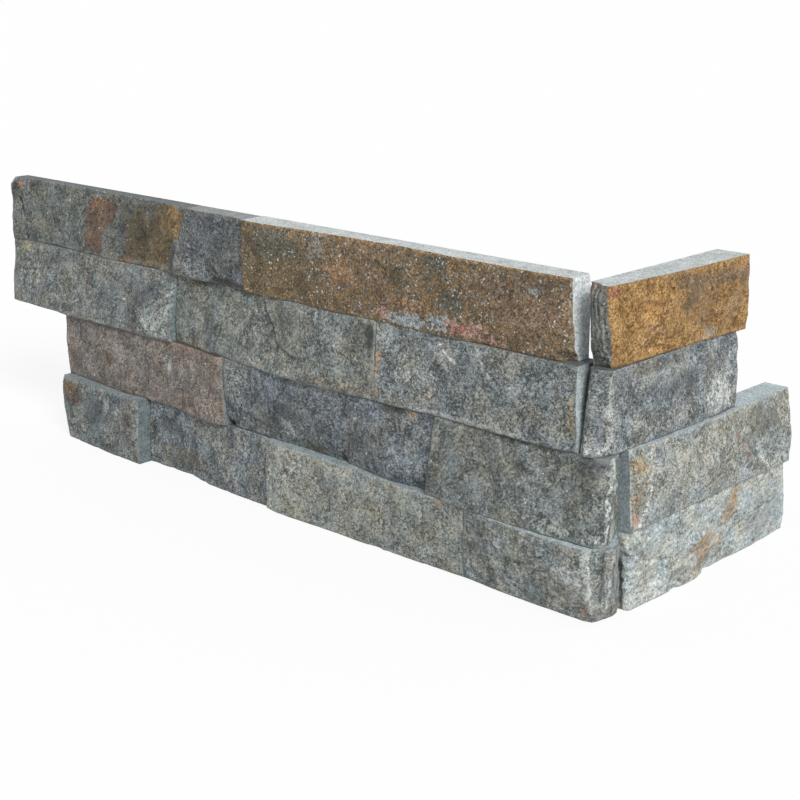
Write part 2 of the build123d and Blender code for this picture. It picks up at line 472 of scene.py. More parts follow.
class Shader:
    """The node tree of a material or a world, written as sums and calls."""

    def __init__(self, owner: bpy.types.Material | bpy.types.World) -> None:
        """Start an empty tree.

        Args:
            owner: The new material or world that the tree belongs to.
        """
        owner.use_nodes = True
        self.owner = owner
        self.tree = owner.node_tree
        self.tree.nodes.clear()

    def node(
        self,
        kind: str,
        settings: dict[str, object],
        inputs: dict[int | str, object],
        output: int | str = 0,
    ) -> Wire:
        """Add one node.

        Args:
            kind: The node's type.
            settings: Its settings, which are set before its sockets.
            inputs: Values or wires of its sockets, by number or name.
            output: Which output to give back.

        Returns:
            The output, as a wire.
        """
        made = self.tree.nodes.new(kind)
        for name, value in settings.items():
            setattr(made, name, value)
        for name, value in inputs.items():
            if isinstance(value, Wire):
                self.tree.links.new(value.socket, made.inputs[name])
            else:
                made.inputs[name].default_value = value
        return Wire(self, made.outputs[output])

    def attribute(self, name: str, output: str = "Fac") -> Wire:
        """Read a value that the mesh holds for each vertex.

        Args:
            name: The attribute's name.
            output: Which of the node's outputs to read.

        Returns:
            The value.
        """
        return self.node("ShaderNodeAttribute", {"attribute_name": name}, {}, output)

    def place(self, shift: Vector, turn: Euler | None = None, stretch: Vector | None = None) -> Wire:
        """Give the point on the object, for a pattern that is moved, turned and stretched.

        Args:
            shift: How far the pattern moves, in metres.
            turn: How the pattern is turned.
            stretch: How much longer the pattern is on each of its own axes.

        Returns:
            The point as a vector.
        """
        point = self.node("ShaderNodeTexCoord", {}, {}, "Object")
        moved = {"Vector": point, "Location": shift}
        if turn is not None:
            moved["Rotation"] = turn
        if stretch is not None:
            moved["Scale"] = stretch
        return self.node("ShaderNodeMapping", {"vector_type": "TEXTURE"}, moved)

    def noise(self, point: Wire, size_mm: float, detail: float, rough: float = 0.5) -> Wire:
        """Read cloudy noise of 0 to 1.

        Args:
            point: Where to read it.
            size_mm: The width of its lumps in millimetres.
            detail: How many finer layers it has.
            rough: How strong the finer layers are.

        Returns:
            The noise.
        """
        values = {"Vector": point, "Scale": 1 / (size_mm * MM), "Detail": detail, "Roughness": rough}
        return self.node("ShaderNodeTexNoise", {}, values)

    def grains(self, point: Wire, size_mm: float) -> Wire:
        """Part the surface into mineral grains.

        Args:
            point: Where to read them.
            size_mm: The width of a grain in millimetres.

        Returns:
            A random colour for each grain.
        """
        values = {"Vector": point, "Scale": 1 / (size_mm * MM)}
        return self.node("ShaderNodeTexVoronoi", {}, values, "Color")

    def channel(self, colour: Wire, number: int) -> Wire:
        """Take one of a colour's three channels."""
        return self.node("ShaderNodeSeparateColor", {}, {0: colour}, number)

    def axis(self, vector: Wire, letter: str) -> Wire:
        """Take the part of a vector that lies along X, Y or Z."""
        return self.node("ShaderNodeSeparateXYZ", {}, {0: vector}, letter)

    def rise(self, value: Wire, low: float, high: float) -> Wire:
        """Rise smoothly from 0 at low to 1 at high.

        Args:
            value: The value to map.
            low: Where the result is 0.
            high: Where the result is 1.

        Returns:
            The share.
        """
        values = {"Value": value, "From Min": low, "From Max": high}
        return self.node("ShaderNodeMapRange", {"interpolation_type": "SMOOTHSTEP"}, values)

    def mix(self, share: Wire | float, first: object, second: object, blend: str = "MIX") -> Wire:
        """Mix two colours.

        Args:
            share: How much of the second colour there is.
            first: The first colour, as a wire or three numbers.
            second: The second colour.
            blend: The way of mixing.

        Returns:
            The mixed colour.
        """
        colours = [one if isinstance(one, Wire) else (*one, 1.0) for one in (first, second)]
        values = {0: share, 6: colours[0], 7: colours[1]}
        return self.node("ShaderNodeMix", {"data_type": "RGBA", "blend_type": blend}, values, 2)

    def scaled(self, colour: Wire, share: Wire) -> Wire:
        """Make a colour lighter or darker.

        Args:
            colour: The colour.
            share: What each of its channels is multiplied by.

        Returns:
            The new colour.
        """
        return self.node("ShaderNodeVectorMath", {"operation": "SCALE"}, {0: colour, "Scale": share})

    def bump(self, height: Wire, distance_mm: float, strength: float, normal: Wire | None = None) -> Wire:
        """Turn a height into a normal.

        Args:
            height: The height, from 0 to 1.
            distance_mm: How high 1 is, in millimetres.
            strength: How strongly it shows.
            normal: The normal to start from.

        Returns:
            The normal.
        """
        values = {"Height": height, "Distance": distance_mm * MM, "Strength": strength}
        if normal is not None:
            values["Normal"] = normal
        return self.node("ShaderNodeBump", {}, values)

    def close(self, surface: Wire) -> bpy.types.Material | bpy.types.World:
        """Join the finished surface to the output.

        Args:
            surface: The shader that is shown.

        Returns:
            The finished material or world.
        """
        kind = "World" if isinstance(self.owner, bpy.types.World) else "Material"
        output = self.tree.nodes.new(f"ShaderNodeOutput{kind}")
        self.tree.links.new(surface.socket, output.inputs["Surface"])
        return self.owner


@dataclass(frozen=True)
class StoneFinish:
    """The stone of one strip: its three tones, and how strongly each pattern shows in them.

    bruise colours the worn arrises and fleck the glints. cool and warm are what the colour drifts
    between, hue is how far it drifts, and hue_mm and mottle_mm are the widths of those clouds.
    sparkle and pepper are the shares of the crystals that glint and that are dark.
    """

    dark: Colour
    middle: Colour
    light: Colour
    bruise: Colour = (0.34, 0.36, 0.34)
    fleck: Colour = (0.72, 0.74, 0.72)
    cool: Colour = (0.90, 1.00, 1.10)
    warm: Colour = (1.12, 1.02, 0.86)
    mottle: float = 1.0
    mottle_mm: float = 11.0
    blotch: float = 1.15
    grain: float = 1.0
    streak: float = 0.3
    hue: float = 0.5
    hue_mm: float = 15.0
    sparkle: float = 0.012
    pepper: float = 0.05


class StoneLook:
    """The material of one strip, made of its finish and of the patterns in its stone.

    A pair of numbers is where a rise starts and where it ends. A bump is how high its pattern
    stands, in millimetres, and how strongly it shows.
    """

    NOISE_STEP = (0.37, 0.61, 0.23)
    NOISE_PLACES = 97
    BLOTCH_MM = 3.0
    STREAK_MM = 1.6
    STREAK_STRETCH = 3.5
    GRIT_MM = 1.25
    GRIT_TONE = 2.7
    CRYSTAL_MM = 0.62
    CRYSTAL_TONE = 0.75
    RELIEF_SHADING = 0.4
    FLAKE_MM = 0.74
    DUST_MM = 5.0
    SAW_LINE_MM = 0.9
    SAW_LINE_STRETCH = 14.0
    DRIFT = (0.38, 0.62)
    STAIN_FRAY = 0.9
    STAIN_EDGE = (0.25, 0.75)
    FAINT_STAIN = (0.0, 0.25)
    PEPPER_TONE = 0.75
    CLUSTERS = (0.8, 1.15)
    FACING = (0.4, 0.9)
    # The next two set the painted shade that darkens a sawn end towards its back.
    PAINTED_SHADE_BLUR_MM = 5.0
    END_SHADE = 0.25
    DUST_SHADE = 1.1
    GRIT_SHADE = 2.0
    SALT_SHADE = 0.35
    SAW_LINE_SHADE = 0.45
    SAWN_BUMP = (0.06, 0.6)
    SPLIT_BUMP = (0.24, 0.7)
    GLOSS = 0.3

    def __init__(self, name: str, finish: StoneFinish, strip: "Strip") -> None:
        """Read the patterns in the stone, from clouds down to single crystals.

        Args:
            name: The material's name.
            finish: The kind of stone.
            strip: The strip, with its tint, its sawn colours and its place in the noise.
        """
        self.shader = Shader(bpy.data.materials.new(name))
        self.finish = finish
        self.strip = strip
        self.long_arm = strip.side is Side.LONG
        shift = Vector(self.NOISE_STEP) * (strip.seed % self.NOISE_PLACES)
        lean = math.radians(strip.grain_lean)
        turn = Euler((0.0, -lean, 0.0)) if self.long_arm else Euler((lean, 0.0, 0.0))
        stretch = (self.STREAK_STRETCH, 1.0, 1.0) if self.long_arm else (1.0, self.STREAK_STRETCH, 1.0)
        streaked = self.shader.place(shift, turn, Vector(stretch))
        sawn = self.shader.place(shift, None, Vector((self.SAW_LINE_STRETCH, self.SAW_LINE_STRETCH, 1.0)))

        self.point = self.shader.place(shift)
        self.mottle = self.shader.noise(self.point, finish.mottle_mm, 3.0, 0.55)
        self.blotch = self.shader.noise(self.point, self.BLOTCH_MM, 3.0, 0.65)
        self.streaks = self.shader.noise(streaked, self.STREAK_MM, 3.0, 0.6)
        self.grit = self.shader.noise(self.point, self.GRIT_MM, 4.0, 0.75)
        self.saw_lines = self.shader.noise(sawn, self.SAW_LINE_MM, 3.0)
        crystals = self.shader.grains(self.point, self.CRYSTAL_MM)
        self.salt = self.shader.channel(crystals, 0)
        self.pepper = self.shader.channel(crystals, 1)
        self.flakes = self.shader.grains(self.point, self.FLAKE_MM)
        self.tone = self.read_tone()
        self.glint = self.read_glint()

    def read_tone(self) -> Wire:
        """Work out how light the split stone is, with painted light on its rises and painted shade in its
        hollows.

        Returns:
            The tone, from 0 for dark to 1 for light.
        """
        finish = self.finish
        relief = self.shader.attribute("relief")
        tone = 0.5 + (self.mottle - 0.5) * finish.mottle + (self.blotch - 0.5) * finish.blotch
        tone = tone + (self.streaks - 0.5) * finish.streak
        tone = tone + (self.grit - 0.5) * (self.GRIT_TONE * finish.grain)
        tone = tone + (self.salt - 0.5) * (self.CRYSTAL_TONE * finish.grain)
        return (tone + (relief - 0.5) * self.RELIEF_SHADING).clamped()

    def read_glint(self) -> Wire:
        """Pick the flakes that glint, which lie in clusters.

        Returns:
            1 on a glinting flake and 0 elsewhere.
        """
        first, last = 1.0 - self.finish.sparkle, 1.0 - self.finish.sparkle * 0.5
        picked = self.shader.rise(self.shader.channel(self.flakes, 0), first, last)
        return picked * self.shader.rise(self.blotch + self.mottle, *self.CLUSTERS)

    def clean(self) -> Wire:
        """Colour the split stone.

        Returns:
            The colour.
        """
        shader, finish = self.shader, self.finish
        low = shader.mix(shader.rise(self.tone, 0.0, 0.5), finish.dark, finish.middle)
        stone = shader.mix(shader.rise(self.tone, 0.5, 1.0), low, finish.light)
        cool_to_warm = shader.rise(shader.noise(self.point, finish.hue_mm, 3.0, 0.6), *self.DRIFT)
        drift = shader.mix(cool_to_warm, finish.cool, finish.warm)
        stone = shader.mix(finish.hue, stone, drift, "MULTIPLY")
        return shader.mix(1.0, stone, self.strip.tint, "MULTIPLY")

    def stained_and_shaded(self, stone: Wire) -> Wire:
        """Lay the strip's patches and veins over its stone, frayed by the patterns; some veins are painted
        shade and highlights.

        Args:
            stone: The clean stone's colour.

        Returns:
            The colour.
        """
        shader = self.shader
        amount = shader.attribute("stain_and_painted_shading", "Alpha")
        fray = amount + (self.grit - 0.5) * self.STAIN_FRAY + (self.blotch - 0.5) * self.STAIN_FRAY
        share = shader.rise(fray, *self.STAIN_EDGE) * shader.rise(amount, *self.FAINT_STAIN)
        stain_and_painted_shading = shader.scaled(shader.attribute("stain_and_painted_shading", "Color"), 0.35 + self.tone * 1.3)
        return shader.mix(share, stone, stain_and_painted_shading)

    def weathered(self, stone: Wire) -> Wire:
        """Bruise the arrises and strew dark crystals and glints over the stone.

        Args:
            stone: The stained stone's colour.

        Returns:
            The colour.
        """
        shader, finish, rim = self.shader, self.finish, self.strip.rim
        bruised = (shader.attribute("worn") * (0.1 + self.grit * 1.1)).clamped()
        stone = shader.mix(bruised, stone, finish.bruise if rim is None else rim.value)
        peppered = shader.rise(self.pepper, 1.0 - finish.pepper, 1.0) * self.PEPPER_TONE
        stone = shader.mix(peppered, stone, finish.dark)
        return shader.mix(self.glint * (0.1 + shader.channel(self.flakes, 2) * 0.9), stone, finish.fleck)

    def sawn(self) -> Wire:
        """Colour the sawn faces: the top, the end that looks to the corner, and the rest. The top and the
        end carry painted light and shade.

        Returns:
            The colour.
        """
        shader, strip = self.shader, self.strip
        facing = shader.node("ShaderNodeNewGeometry", {}, {}, "True Normal")
        spot = shader.place(Vector())
        if self.long_arm:
            cornerward, depth = shader.axis(facing, "X"), shader.axis(spot, "Y") * (-1 / MM)
        else:
            cornerward, depth = shader.axis(facing, "Y") * -1.0, shader.axis(spot, "X") * (1 / MM)
        on_top = shader.rise(shader.axis(facing, "Z"), *self.FACING)
        on_end = shader.rise(cornerward, *self.FACING)
        # Painted shade: the end that looks to the corner is darkened from its back out to the strip's given
        # depth, standing for the shade in the joint.
        blur = self.PAINTED_SHADE_BLUR_MM
        shade_share = shader.rise(depth, strip.painted_shade_depth - blur, strip.painted_shade_depth + blur)
        shaded_end = tuple(self.END_SHADE * channel for channel in strip.sawn_end)
        end = shader.mix(on_end, strip.sawn_back, shader.mix(shade_share, shaded_end, strip.sawn_end))
        dust = shader.noise(self.point, self.DUST_MM, 4.0, 0.7)
        shade = (dust - 0.5) * self.DUST_SHADE + (self.grit - 0.5) * self.GRIT_SHADE
        shade = shade + (self.salt - 0.5) * self.SALT_SHADE
        shade = shade + (self.saw_lines - 0.5) * self.SAW_LINE_SHADE
        return shader.scaled(shader.mix(on_top, end, strip.sawn_top_with_painted_light), shade + 1.0)

    def material(self) -> bpy.types.Material:
        """Join the split and the sawn faces in one material.

        Returns:
            The material.
        """
        shader = self.shader
        split = shader.attribute("split")
        colour = shader.mix(split, self.sawn(), self.weathered(self.stained_and_shaded(self.clean())))
        rough = 0.6 + self.grit * 0.3 - self.glint * split * 0.3
        normal = shader.bump(self.saw_lines * 0.5 + self.grit, *self.SAWN_BUMP)
        grains = (self.grit + self.streaks * 0.3 + self.salt * 0.25) * split
        normal = shader.bump(grains, *self.SPLIT_BUMP, normal)
        values = {"Base Color": colour, "Roughness": rough, "Normal": normal}
        values["Specular IOR Level"] = self.GLOSS
        return shader.close(shader.node("ShaderNodeBsdfPrincipled", {}, values))


@dataclass(frozen=True)
class Plane:
    """A flat sawn face: its outward direction, and its distance from the origin in millimetres."""

    normal: np.ndarray
    offset: float

    def outside(self, points: np.ndarray) -> np.ndarray:
        """Measure how far points lie outside the plane."""
        return points @ self.normal - self.offset


@dataclass(frozen=True)
class Bed:
    """Where a strip lies: its arm and its row. Its own axes are along, depth and up."""

    side: Side
    row: int

    @property
    def out(self) -> np.ndarray:
        """Give the direction that the split face looks in."""
        return np.array([0.0, -1.0, 0.0] if self.side is Side.LONG else [1.0, 0.0, 0.0])

    @property
    def nose(self) -> np.ndarray:
        """Give the direction along the strip towards the corner."""
        return np.array([1.0, 0.0, 0.0] if self.side is Side.LONG else [0.0, -1.0, 0.0])

    def arm(self, points: np.ndarray) -> np.ndarray:
        """Turn points of the frame into along, depth and up.

        Args:
            points: Points in millimetres, one row each.

        Returns:
            The same points on the strip's own axes.
        """
        up = points[:, 2] - (self.row - 1) * ROW_HEIGHT_MM
        return np.column_stack([-(points @ self.nose), points @ self.out, up])

    def turned(self, direction: tuple[float, float, float]) -> Vector:
        """Turn a direction on the strip's own axes into one of the frame.

        Args:
            direction: Its along, depth and up.

        Returns:
            The direction in the frame.
        """
        along, depth, up = direction
        return Vector(self.out * depth - self.nose * along + np.array([0.0, 0.0, up]))

    def spot(self, place: tuple[float, float, float]) -> Vector:
        """Turn a place on the strip's own axes into a point of the frame, in metres."""
        return (self.turned(place) + Vector((0.0, 0.0, (self.row - 1) * ROW_HEIGHT_MM))) * MM


@dataclass(frozen=True)
class Break:
    """A flat piece broken off an edge: a point on the break and the break's outward direction."""

    point: tuple[float, float, float]
    towards: tuple[float, float, float]


class Skin:
    """A strip's outside: split faces divided finely, and whole sawn faces, carved as arrays.

    PARTS is how many small edges each edge of a split face gets. WELD_SHIFT keeps round numbers away
    from the places where the whole numbers of equal points could part.
    """

    PARTS = 11
    FLAT_AREA_MM2 = 60.0
    SAME_DIRECTION = 0.9995
    SAME_PLACE_MM = 0.05
    WELD_MM = 0.002
    WELD_SHIFT = 0.137
    TURNED_OUT = 0.5
    SETTLING_ROUNDS = 4

    def __init__(
        self, cad: bpy.types.Object, bed: Bed, rough_nose: bool, breaks: tuple[Break, ...]
    ) -> None:
        """Read the strip's solid and divide its split faces.

        Args:
            cad: The strip's own object in the frame.
            bed: Where the strip lies.
            rough_nose: Whether its end at the corner is split too.
            breaks: What is broken off its edges.
        """
        self.bed = bed
        planes = self.sawn_planes(cad, rough_nose)
        corners, triangles = self.broken(cad, breaks)
        sawn = [self.lie_on(plane, corners, triangles) for plane in planes]
        rough = triangles[~np.any(sawn, axis=0)]
        self.places, self.faces = self.divided(corners, rough)
        self.spots = {key: index for index, key in enumerate(self.keys(self.places))}
        split_edges = {(a, b) for face in rough for a, b in zip(face, np.roll(face, -1))}
        self.rings: list[list[int]] = []
        self.borders: list[tuple[Plane, np.ndarray]] = []
        for plane, on_it in zip(planes, sawn):
            for ring in self.outlines(triangles[on_it]):
                fine = self.refined(ring, corners, split_edges)
                self.rings.append(fine)
                self.borders.append((plane, np.array(sorted(set(fine)))))
        self.inside = np.min([-plane.outside(self.places) for plane in planes], axis=0)
        self.edges = np.unique(np.sort(self.faces[:, [0, 1, 1, 2, 2, 0]].reshape(-1, 2), axis=1), axis=0)
        self.links = np.bincount(self.edges.ravel(), minlength=len(self.places))

    def sawn_planes(self, cad: bpy.types.Object, rough_nose: bool) -> list[Plane]:
        """Find the solid's flat sawn faces.

        Args:
            cad: The strip's own object in the frame.
            rough_nose: Whether its end at the corner is split.

        Returns:
            The planes of the back, the beds and the sawn ends.
        """
        found: list[list] = []
        cad.data.calc_loop_triangles()
        for triangle in cad.data.loop_triangles:
            normal = np.array(triangle.normal)
            turned_out = normal @ self.bed.out > self.TURNED_OUT
            if turned_out or (rough_nose and normal @ self.bed.nose > self.TURNED_OUT):
                continue
            offset = normal @ np.array(triangle.center) / MM
            area = triangle.area / MM ** 2
            for plane in found:
                if plane[0] @ normal > self.SAME_DIRECTION and abs(plane[1] - offset) < self.SAME_PLACE_MM:
                    plane[2] += area
                    break
            else:
                found.append([normal, offset, area])
        return [Plane(normal, offset) for normal, offset, area in found if area > self.FLAT_AREA_MM2]

    def broken(self, cad: bpy.types.Object, breaks: tuple[Break, ...]) -> tuple[np.ndarray, np.ndarray]:
        """Copy the solid and break pieces off it.

        Args:
            cad: The strip's own object in the frame.
            breaks: What is broken off.

        Returns:
            The corners in millimetres and the triangles between them.
        """
        solid = bmesh.new()
        solid.from_mesh(cad.data)
        bmesh.ops.remove_doubles(solid, verts=solid.verts, dist=self.WELD_MM * MM)
        for gone in breaks:
            whole = [*solid.verts, *solid.edges, *solid.faces]
            bmesh.ops.bisect_plane(
                solid, geom=whole, clear_outer=True,
                plane_co=self.bed.spot(gone.point), plane_no=self.bed.turned(gone.towards),
            )
            rim = [edge for edge in solid.edges if edge.is_boundary]
            bmesh.ops.contextual_create(solid, geom=rim)
        bmesh.ops.triangulate(solid, faces=solid.faces)
        corners = np.array([vertex.co for vertex in solid.verts]) / MM
        triangles = np.array([[vertex.index for vertex in face.verts] for face in solid.faces])
        solid.free()
        return corners, triangles

    def lie_on(self, plane: Plane, corners: np.ndarray, triangles: np.ndarray) -> np.ndarray:
        """Pick the triangles that lie on a plane.

        Args:
            plane: The plane.
            corners: All corners.
            triangles: All triangles.

        Returns:
            True for each triangle on the plane.
        """
        return np.all(np.abs(plane.outside(corners))[triangles] < self.SAME_PLACE_MM, axis=1)

    def numbered(self, points: np.ndarray) -> np.ndarray:
        """Give points whole numbers that are the same for equal points."""
        return np.floor(points / self.WELD_MM + self.WELD_SHIFT).astype(np.int64)

    def keys(self, points: np.ndarray) -> list[tuple[int, ...]]:
        """Give points names by which equal ones are found."""
        return [tuple(key) for key in self.numbered(points).tolist()]

    def divided(self, corners: np.ndarray, triangles: np.ndarray) -> tuple[np.ndarray, np.ndarray]:
        """Divide triangles evenly into small ones.

        Args:
            corners: The corners.
            triangles: The triangles.

        Returns:
            The new points and the small triangles.
        """
        steps = [(i, j) for i in range(self.PARTS + 1) for j in range(self.PARTS + 1 - i)]
        number = {step: index for index, step in enumerate(steps)}
        small = [(number[i, j], number[i + 1, j], number[i, j + 1]) for i, j in steps if i + j < self.PARTS]
        small += [
            (number[i + 1, j], number[i + 1, j + 1], number[i, j + 1])
            for i, j in steps if i + j < self.PARTS - 1
        ]
        shares = np.array([(i, j, self.PARTS - i - j) for i, j in steps]) / self.PARTS
        points = np.einsum("gk,tkc->tgc", shares, corners[triangles]).reshape(-1, 3)
        _, first, merged = np.unique(self.numbered(points), axis=0, return_index=True, return_inverse=True)
        starts = np.arange(len(triangles))[:, None, None] * len(steps)
        return points[first], merged.ravel()[(np.array(small)[None] + starts).reshape(-1, 3)]

    def outlines(self, triangles: np.ndarray) -> list[list[int]]:
        """Walk round the outline of a flat face.

        Args:
            triangles: The triangles that make the face.

        Returns:
            Each closed outline as a list of corners.
        """
        directed = {(int(a), int(b)) for face in triangles for a, b in zip(face, np.roll(face, -1))}
        following = {a: b for a, b in sorted(directed) if (b, a) not in directed}
        rings = []
        while following:
            start, corner = next(iter(following.items()))
            ring = [start]
            del following[start]
            while corner != start:
                ring.append(corner)
                corner = following.pop(corner)
            rings.append(ring)
        return rings

    def refined(self, ring: list[int], corners: np.ndarray, split_edges: set[tuple[int, int]]) -> list[int]:
        """Give an outline the fine points that the split faces have along it.

        Args:
            ring: The outline's corners.
            corners: All corners.
            split_edges: The edges of the split faces, before they were divided.

        Returns:
            The outline's points.
        """
        fine = []
        for a, b in zip(ring, ring[1:] + ring[:1]):
            count = self.PARTS if (a, b) in split_edges or (b, a) in split_edges else 1
            shares = np.arange(count)[:, None] / count
            points = corners[a] * (1 - shares) + corners[b] * shares
            for key, point in zip(self.keys(points), points):
                if key not in self.spots:
                    self.spots[key] = len(self.places)
                    self.places = np.vstack([self.places, point])
                fine.append(self.spots[key])
        return fine

    def averaged(self, values: np.ndarray) -> np.ndarray:
        """Give each point the mean of its neighbours' values.

        Args:
            values: One value, or one row, for each point.

        Returns:
            The means, in the same form.
        """
        columns = values.reshape(len(self.places), -1)
        total = np.empty_like(columns)
        for number in range(columns.shape[1]):
            column = columns[:, number]
            near = np.bincount(self.edges[:, 0], column[self.edges[:, 1]], len(column))
            near += np.bincount(self.edges[:, 1], column[self.edges[:, 0]], len(column))
            total[:, number] = np.where(self.links > 0, near / np.maximum(self.links, 1), column)
        return total.reshape(values.shape)

    def spread(self, values: np.ndarray, rounds: int) -> np.ndarray:
        """Let values run into their neighbours.

        Args:
            values: One value, or one row, for each point.
            rounds: How many times they are averaged.

        Returns:
            The softened values.
        """
        for _ in range(rounds):
            values = 0.5 * values + 0.5 * self.averaged(values)
        return values

    def settle(self) -> None:
        """Put the borders of the sawn faces back onto their planes."""
        for _ in range(self.SETTLING_ROUNDS):
            for plane, border in self.borders:
                self.places[border] -= plane.outside(self.places[border])[:, None] * plane.normal

    def soften(self, rounds: int) -> None:
        """Round off the solid's facets.

        Args:
            rounds: How many times each point moves towards its neighbours.
        """
        for _ in range(rounds):
            self.places += 0.5 * (self.averaged(self.places) - self.places)
            self.settle()

    def outward(self) -> np.ndarray:
        """Give each point's direction out of the stone.

        Returns:
            One unit vector for each point.
        """
        first, second, third = (self.places[self.faces[:, number]] for number in range(3))
        turned = np.cross(second - first, third - first)
        total = np.zeros_like(self.places)
        for number in range(3):
            for axis in range(3):
                total[:, axis] += np.bincount(self.faces[:, number], turned[:, axis], len(total))
        return total / np.maximum(np.linalg.norm(total, axis=1, keepdims=True), TINY)

    def mesh(self, name: str) -> bpy.types.Mesh:
        """Make the mesh of the carved strip.

        Args:
            name: The mesh's name.

        Returns:
            The mesh, smooth on its split faces and flat on its sawn ones.
        """
        made = bpy.data.meshes.new(name)
        made.from_pydata((self.places * MM).tolist(), [], self.faces.tolist() + self.rings)
        split = np.arange(len(made.polygons)) < len(self.faces)
        made.polygons.foreach_set("use_smooth", split)
        made.attributes.new("split", "FLOAT", "FACE").data.foreach_set("value", split.astype(np.float32))
        return made


@dataclass
class Strip:
    """One strip of stone: its finish, its discoloured places, the painted shade and highlights among its
    veins, its marks, and how rough its split face is.

    tint multiplies the finish's colours. sawn_top_with_painted_light and sawn_end colour the sawn faces in
    view, with painted
    light and shade in them: dark tops stand for the shade lines between rows, lit tops are painted
    lighter, and an end is painted darker, as shade, from its back out to painted_shade_depth. rim colours
    the worn arrises. lumps, facets, steps and arris_wear are heights in millimetres. smoothing is how many
    times the solid's facets are rounded off, and grain_lean is the angle of the stone's grain, in
    degrees. The names in capitals are shared by all strips: sizes of the lumps, shelves and grit, and how
    calm the edges are.
    """

    node: str
    finish: StoneFinish
    side: Side = Side.LONG
    rough_nose: bool = False
    tint: Colour = (1.0, 1.0, 1.0)
    sawn_top_with_painted_light: Colour = (0.12, 0.13, 0.13)
    sawn_end: Colour = (0.20, 0.23, 0.235)
    painted_shade_depth: float = 9.0
    rim: Pigment | None = None
    lumps: float = 0.62
    facets: float = 0.08
    steps: float = 0.25
    arris_wear: float = 0.45
    smoothing: int = 26
    grain_lean: float = 55.0
    patches: tuple[Patch, ...] = ()
    veins: tuple[Vein, ...] = ()
    scars: tuple[Scar, ...] = ()
    chips: tuple[Chip, ...] = ()
    breaks: tuple[Break, ...] = ()

    FIRST_SEED = 7
    SEEDS = 9973
    GRAIN_STRETCH = 1.7
    SAWN_STONE = (0.300, 0.320, 0.318)
    DARKEST_BACK = 0.85
    BACK_STEP = 0.05
    BACK_SHADES = 7
    SWELL_MM = 16.0
    WARP_MM = 5.0
    WARP = 1.6
    FACET_MM = 8.5
    SMALL_FACET_MM = 3.8
    SMALL_FACET_SHIFT = 40.0
    SHELF_MM = 21.0
    SHELVES = 3.2
    SHELF_FLAT = 0.72
    GRIT_MM = 2.1
    GRIT = 0.14
    RAGGED_MM = 7.0
    RAGGED = (-0.3, 1.0)
    ARRIS_MM = 1.5
    CALM_MM = 4.5
    CALM = 0.75
    SHADED_RELIEF_MM = 0.5
    FACING_ROUNDS = 5
    RELIEF_ROUNDS = 8

    @property
    def seed(self) -> int:
        """Give the strip its own number for its noise."""
        spelled = sum(ord(letter) * place for place, letter in enumerate(self.node, 1))
        return self.FIRST_SEED + spelled % self.SEEDS

    @property
    def sawn_back(self) -> Colour:
        """Give the colour of the faces that the wall and the neighbouring pieces hide."""
        share = self.DARKEST_BACK + self.BACK_STEP * (self.seed % self.BACK_SHADES)
        return tuple(share * channel for channel in self.SAWN_STONE)

    def build(self, row: int) -> bpy.types.Object:
        """Carve the strip, dress it and hand it to the frame.

        Args:
            row: The strip's row, from 1 at the bottom.

        Returns:
            The finished piece.
        """
        skin = Skin(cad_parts[self.node], Bed(self.side, row), self.rough_nose, self.breaks)
        attributes = self.carve(skin)
        mesh = skin.mesh(f"{self.node}_stone")
        for name, values in attributes.items():
            self.store(mesh, name, values)
        mesh.materials.append(StoneLook(f"{self.node}_stone", self.finish, self).material())
        piece = bpy.data.objects.new(f"{self.node}_stone", mesh)
        bpy.context.scene.collection.objects.link(piece)
        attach(piece, "root")
        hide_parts(self.node)
        log.info("%s: %d points, %d faces", piece.name, len(mesh.vertices), len(mesh.polygons))
        return piece

    def leaning(self, arm: np.ndarray) -> np.ndarray:
        """Turn points to the stone's grain, which leans up towards the corner.

        Args:
            arm: Points as along, depth and up.

        Returns:
            The points with the grain's direction first, pressed together along it.
        """
        lean = math.radians(self.grain_lean)
        with_grain = arm[:, 2] * math.sin(lean) - arm[:, 0] * math.cos(lean)
        across = arm[:, 2] * math.cos(lean) + arm[:, 0] * math.sin(lean)
        return np.column_stack([with_grain / self.GRAIN_STRETCH, arm[:, 1], across])

    def relief(self, arm: np.ndarray, noise: Noise) -> np.ndarray:
        """Work out how far the split stone swells, steps and cracks.

        Args:
            arm: Points as along, depth and up.
            noise: The strip's noise.

        Returns:
            Millimetres outwards.
        """
        grain = self.leaning(arm)
        swell = self.lumps * noise.layered(grain, self.SWELL_MM, 3, 0.5)
        warped = grain + self.WARP * noise.layered(arm, self.WARP_MM, 2)[:, None]
        small = noise.facets(warped + self.SMALL_FACET_SHIFT, self.SMALL_FACET_MM)
        lift = swell + self.facets * (noise.facets(warped, self.FACET_MM) + 0.5 * small)
        shelf = noise.layered(warped, self.SHELF_MM, 2) * self.SHELVES
        lift += self.steps * (np.floor(shelf) + step_between(shelf % 1.0, self.SHELF_FLAT, 1.0) - shelf)
        lift += self.GRIT * noise.layered(arm, self.GRIT_MM, 2, 0.8)
        for scar in self.scars:
            lift += scar.lift(arm, noise)
        return lift

    def carve(self, skin: Skin) -> dict[str, np.ndarray]:
        """Roughen the split faces and wear their edges.

        Args:
            skin: The strip's outside.

        Returns:
            What the material reads, by name.
        """
        noise = Noise(self.seed)
        skin.soften(self.smoothing)
        arm = skin.bed.arm(skin.places)
        outward = skin.spread(skin.outward(), self.FACING_ROUNDS)
        outward /= np.maximum(np.linalg.norm(outward, axis=1, keepdims=True), TINY)

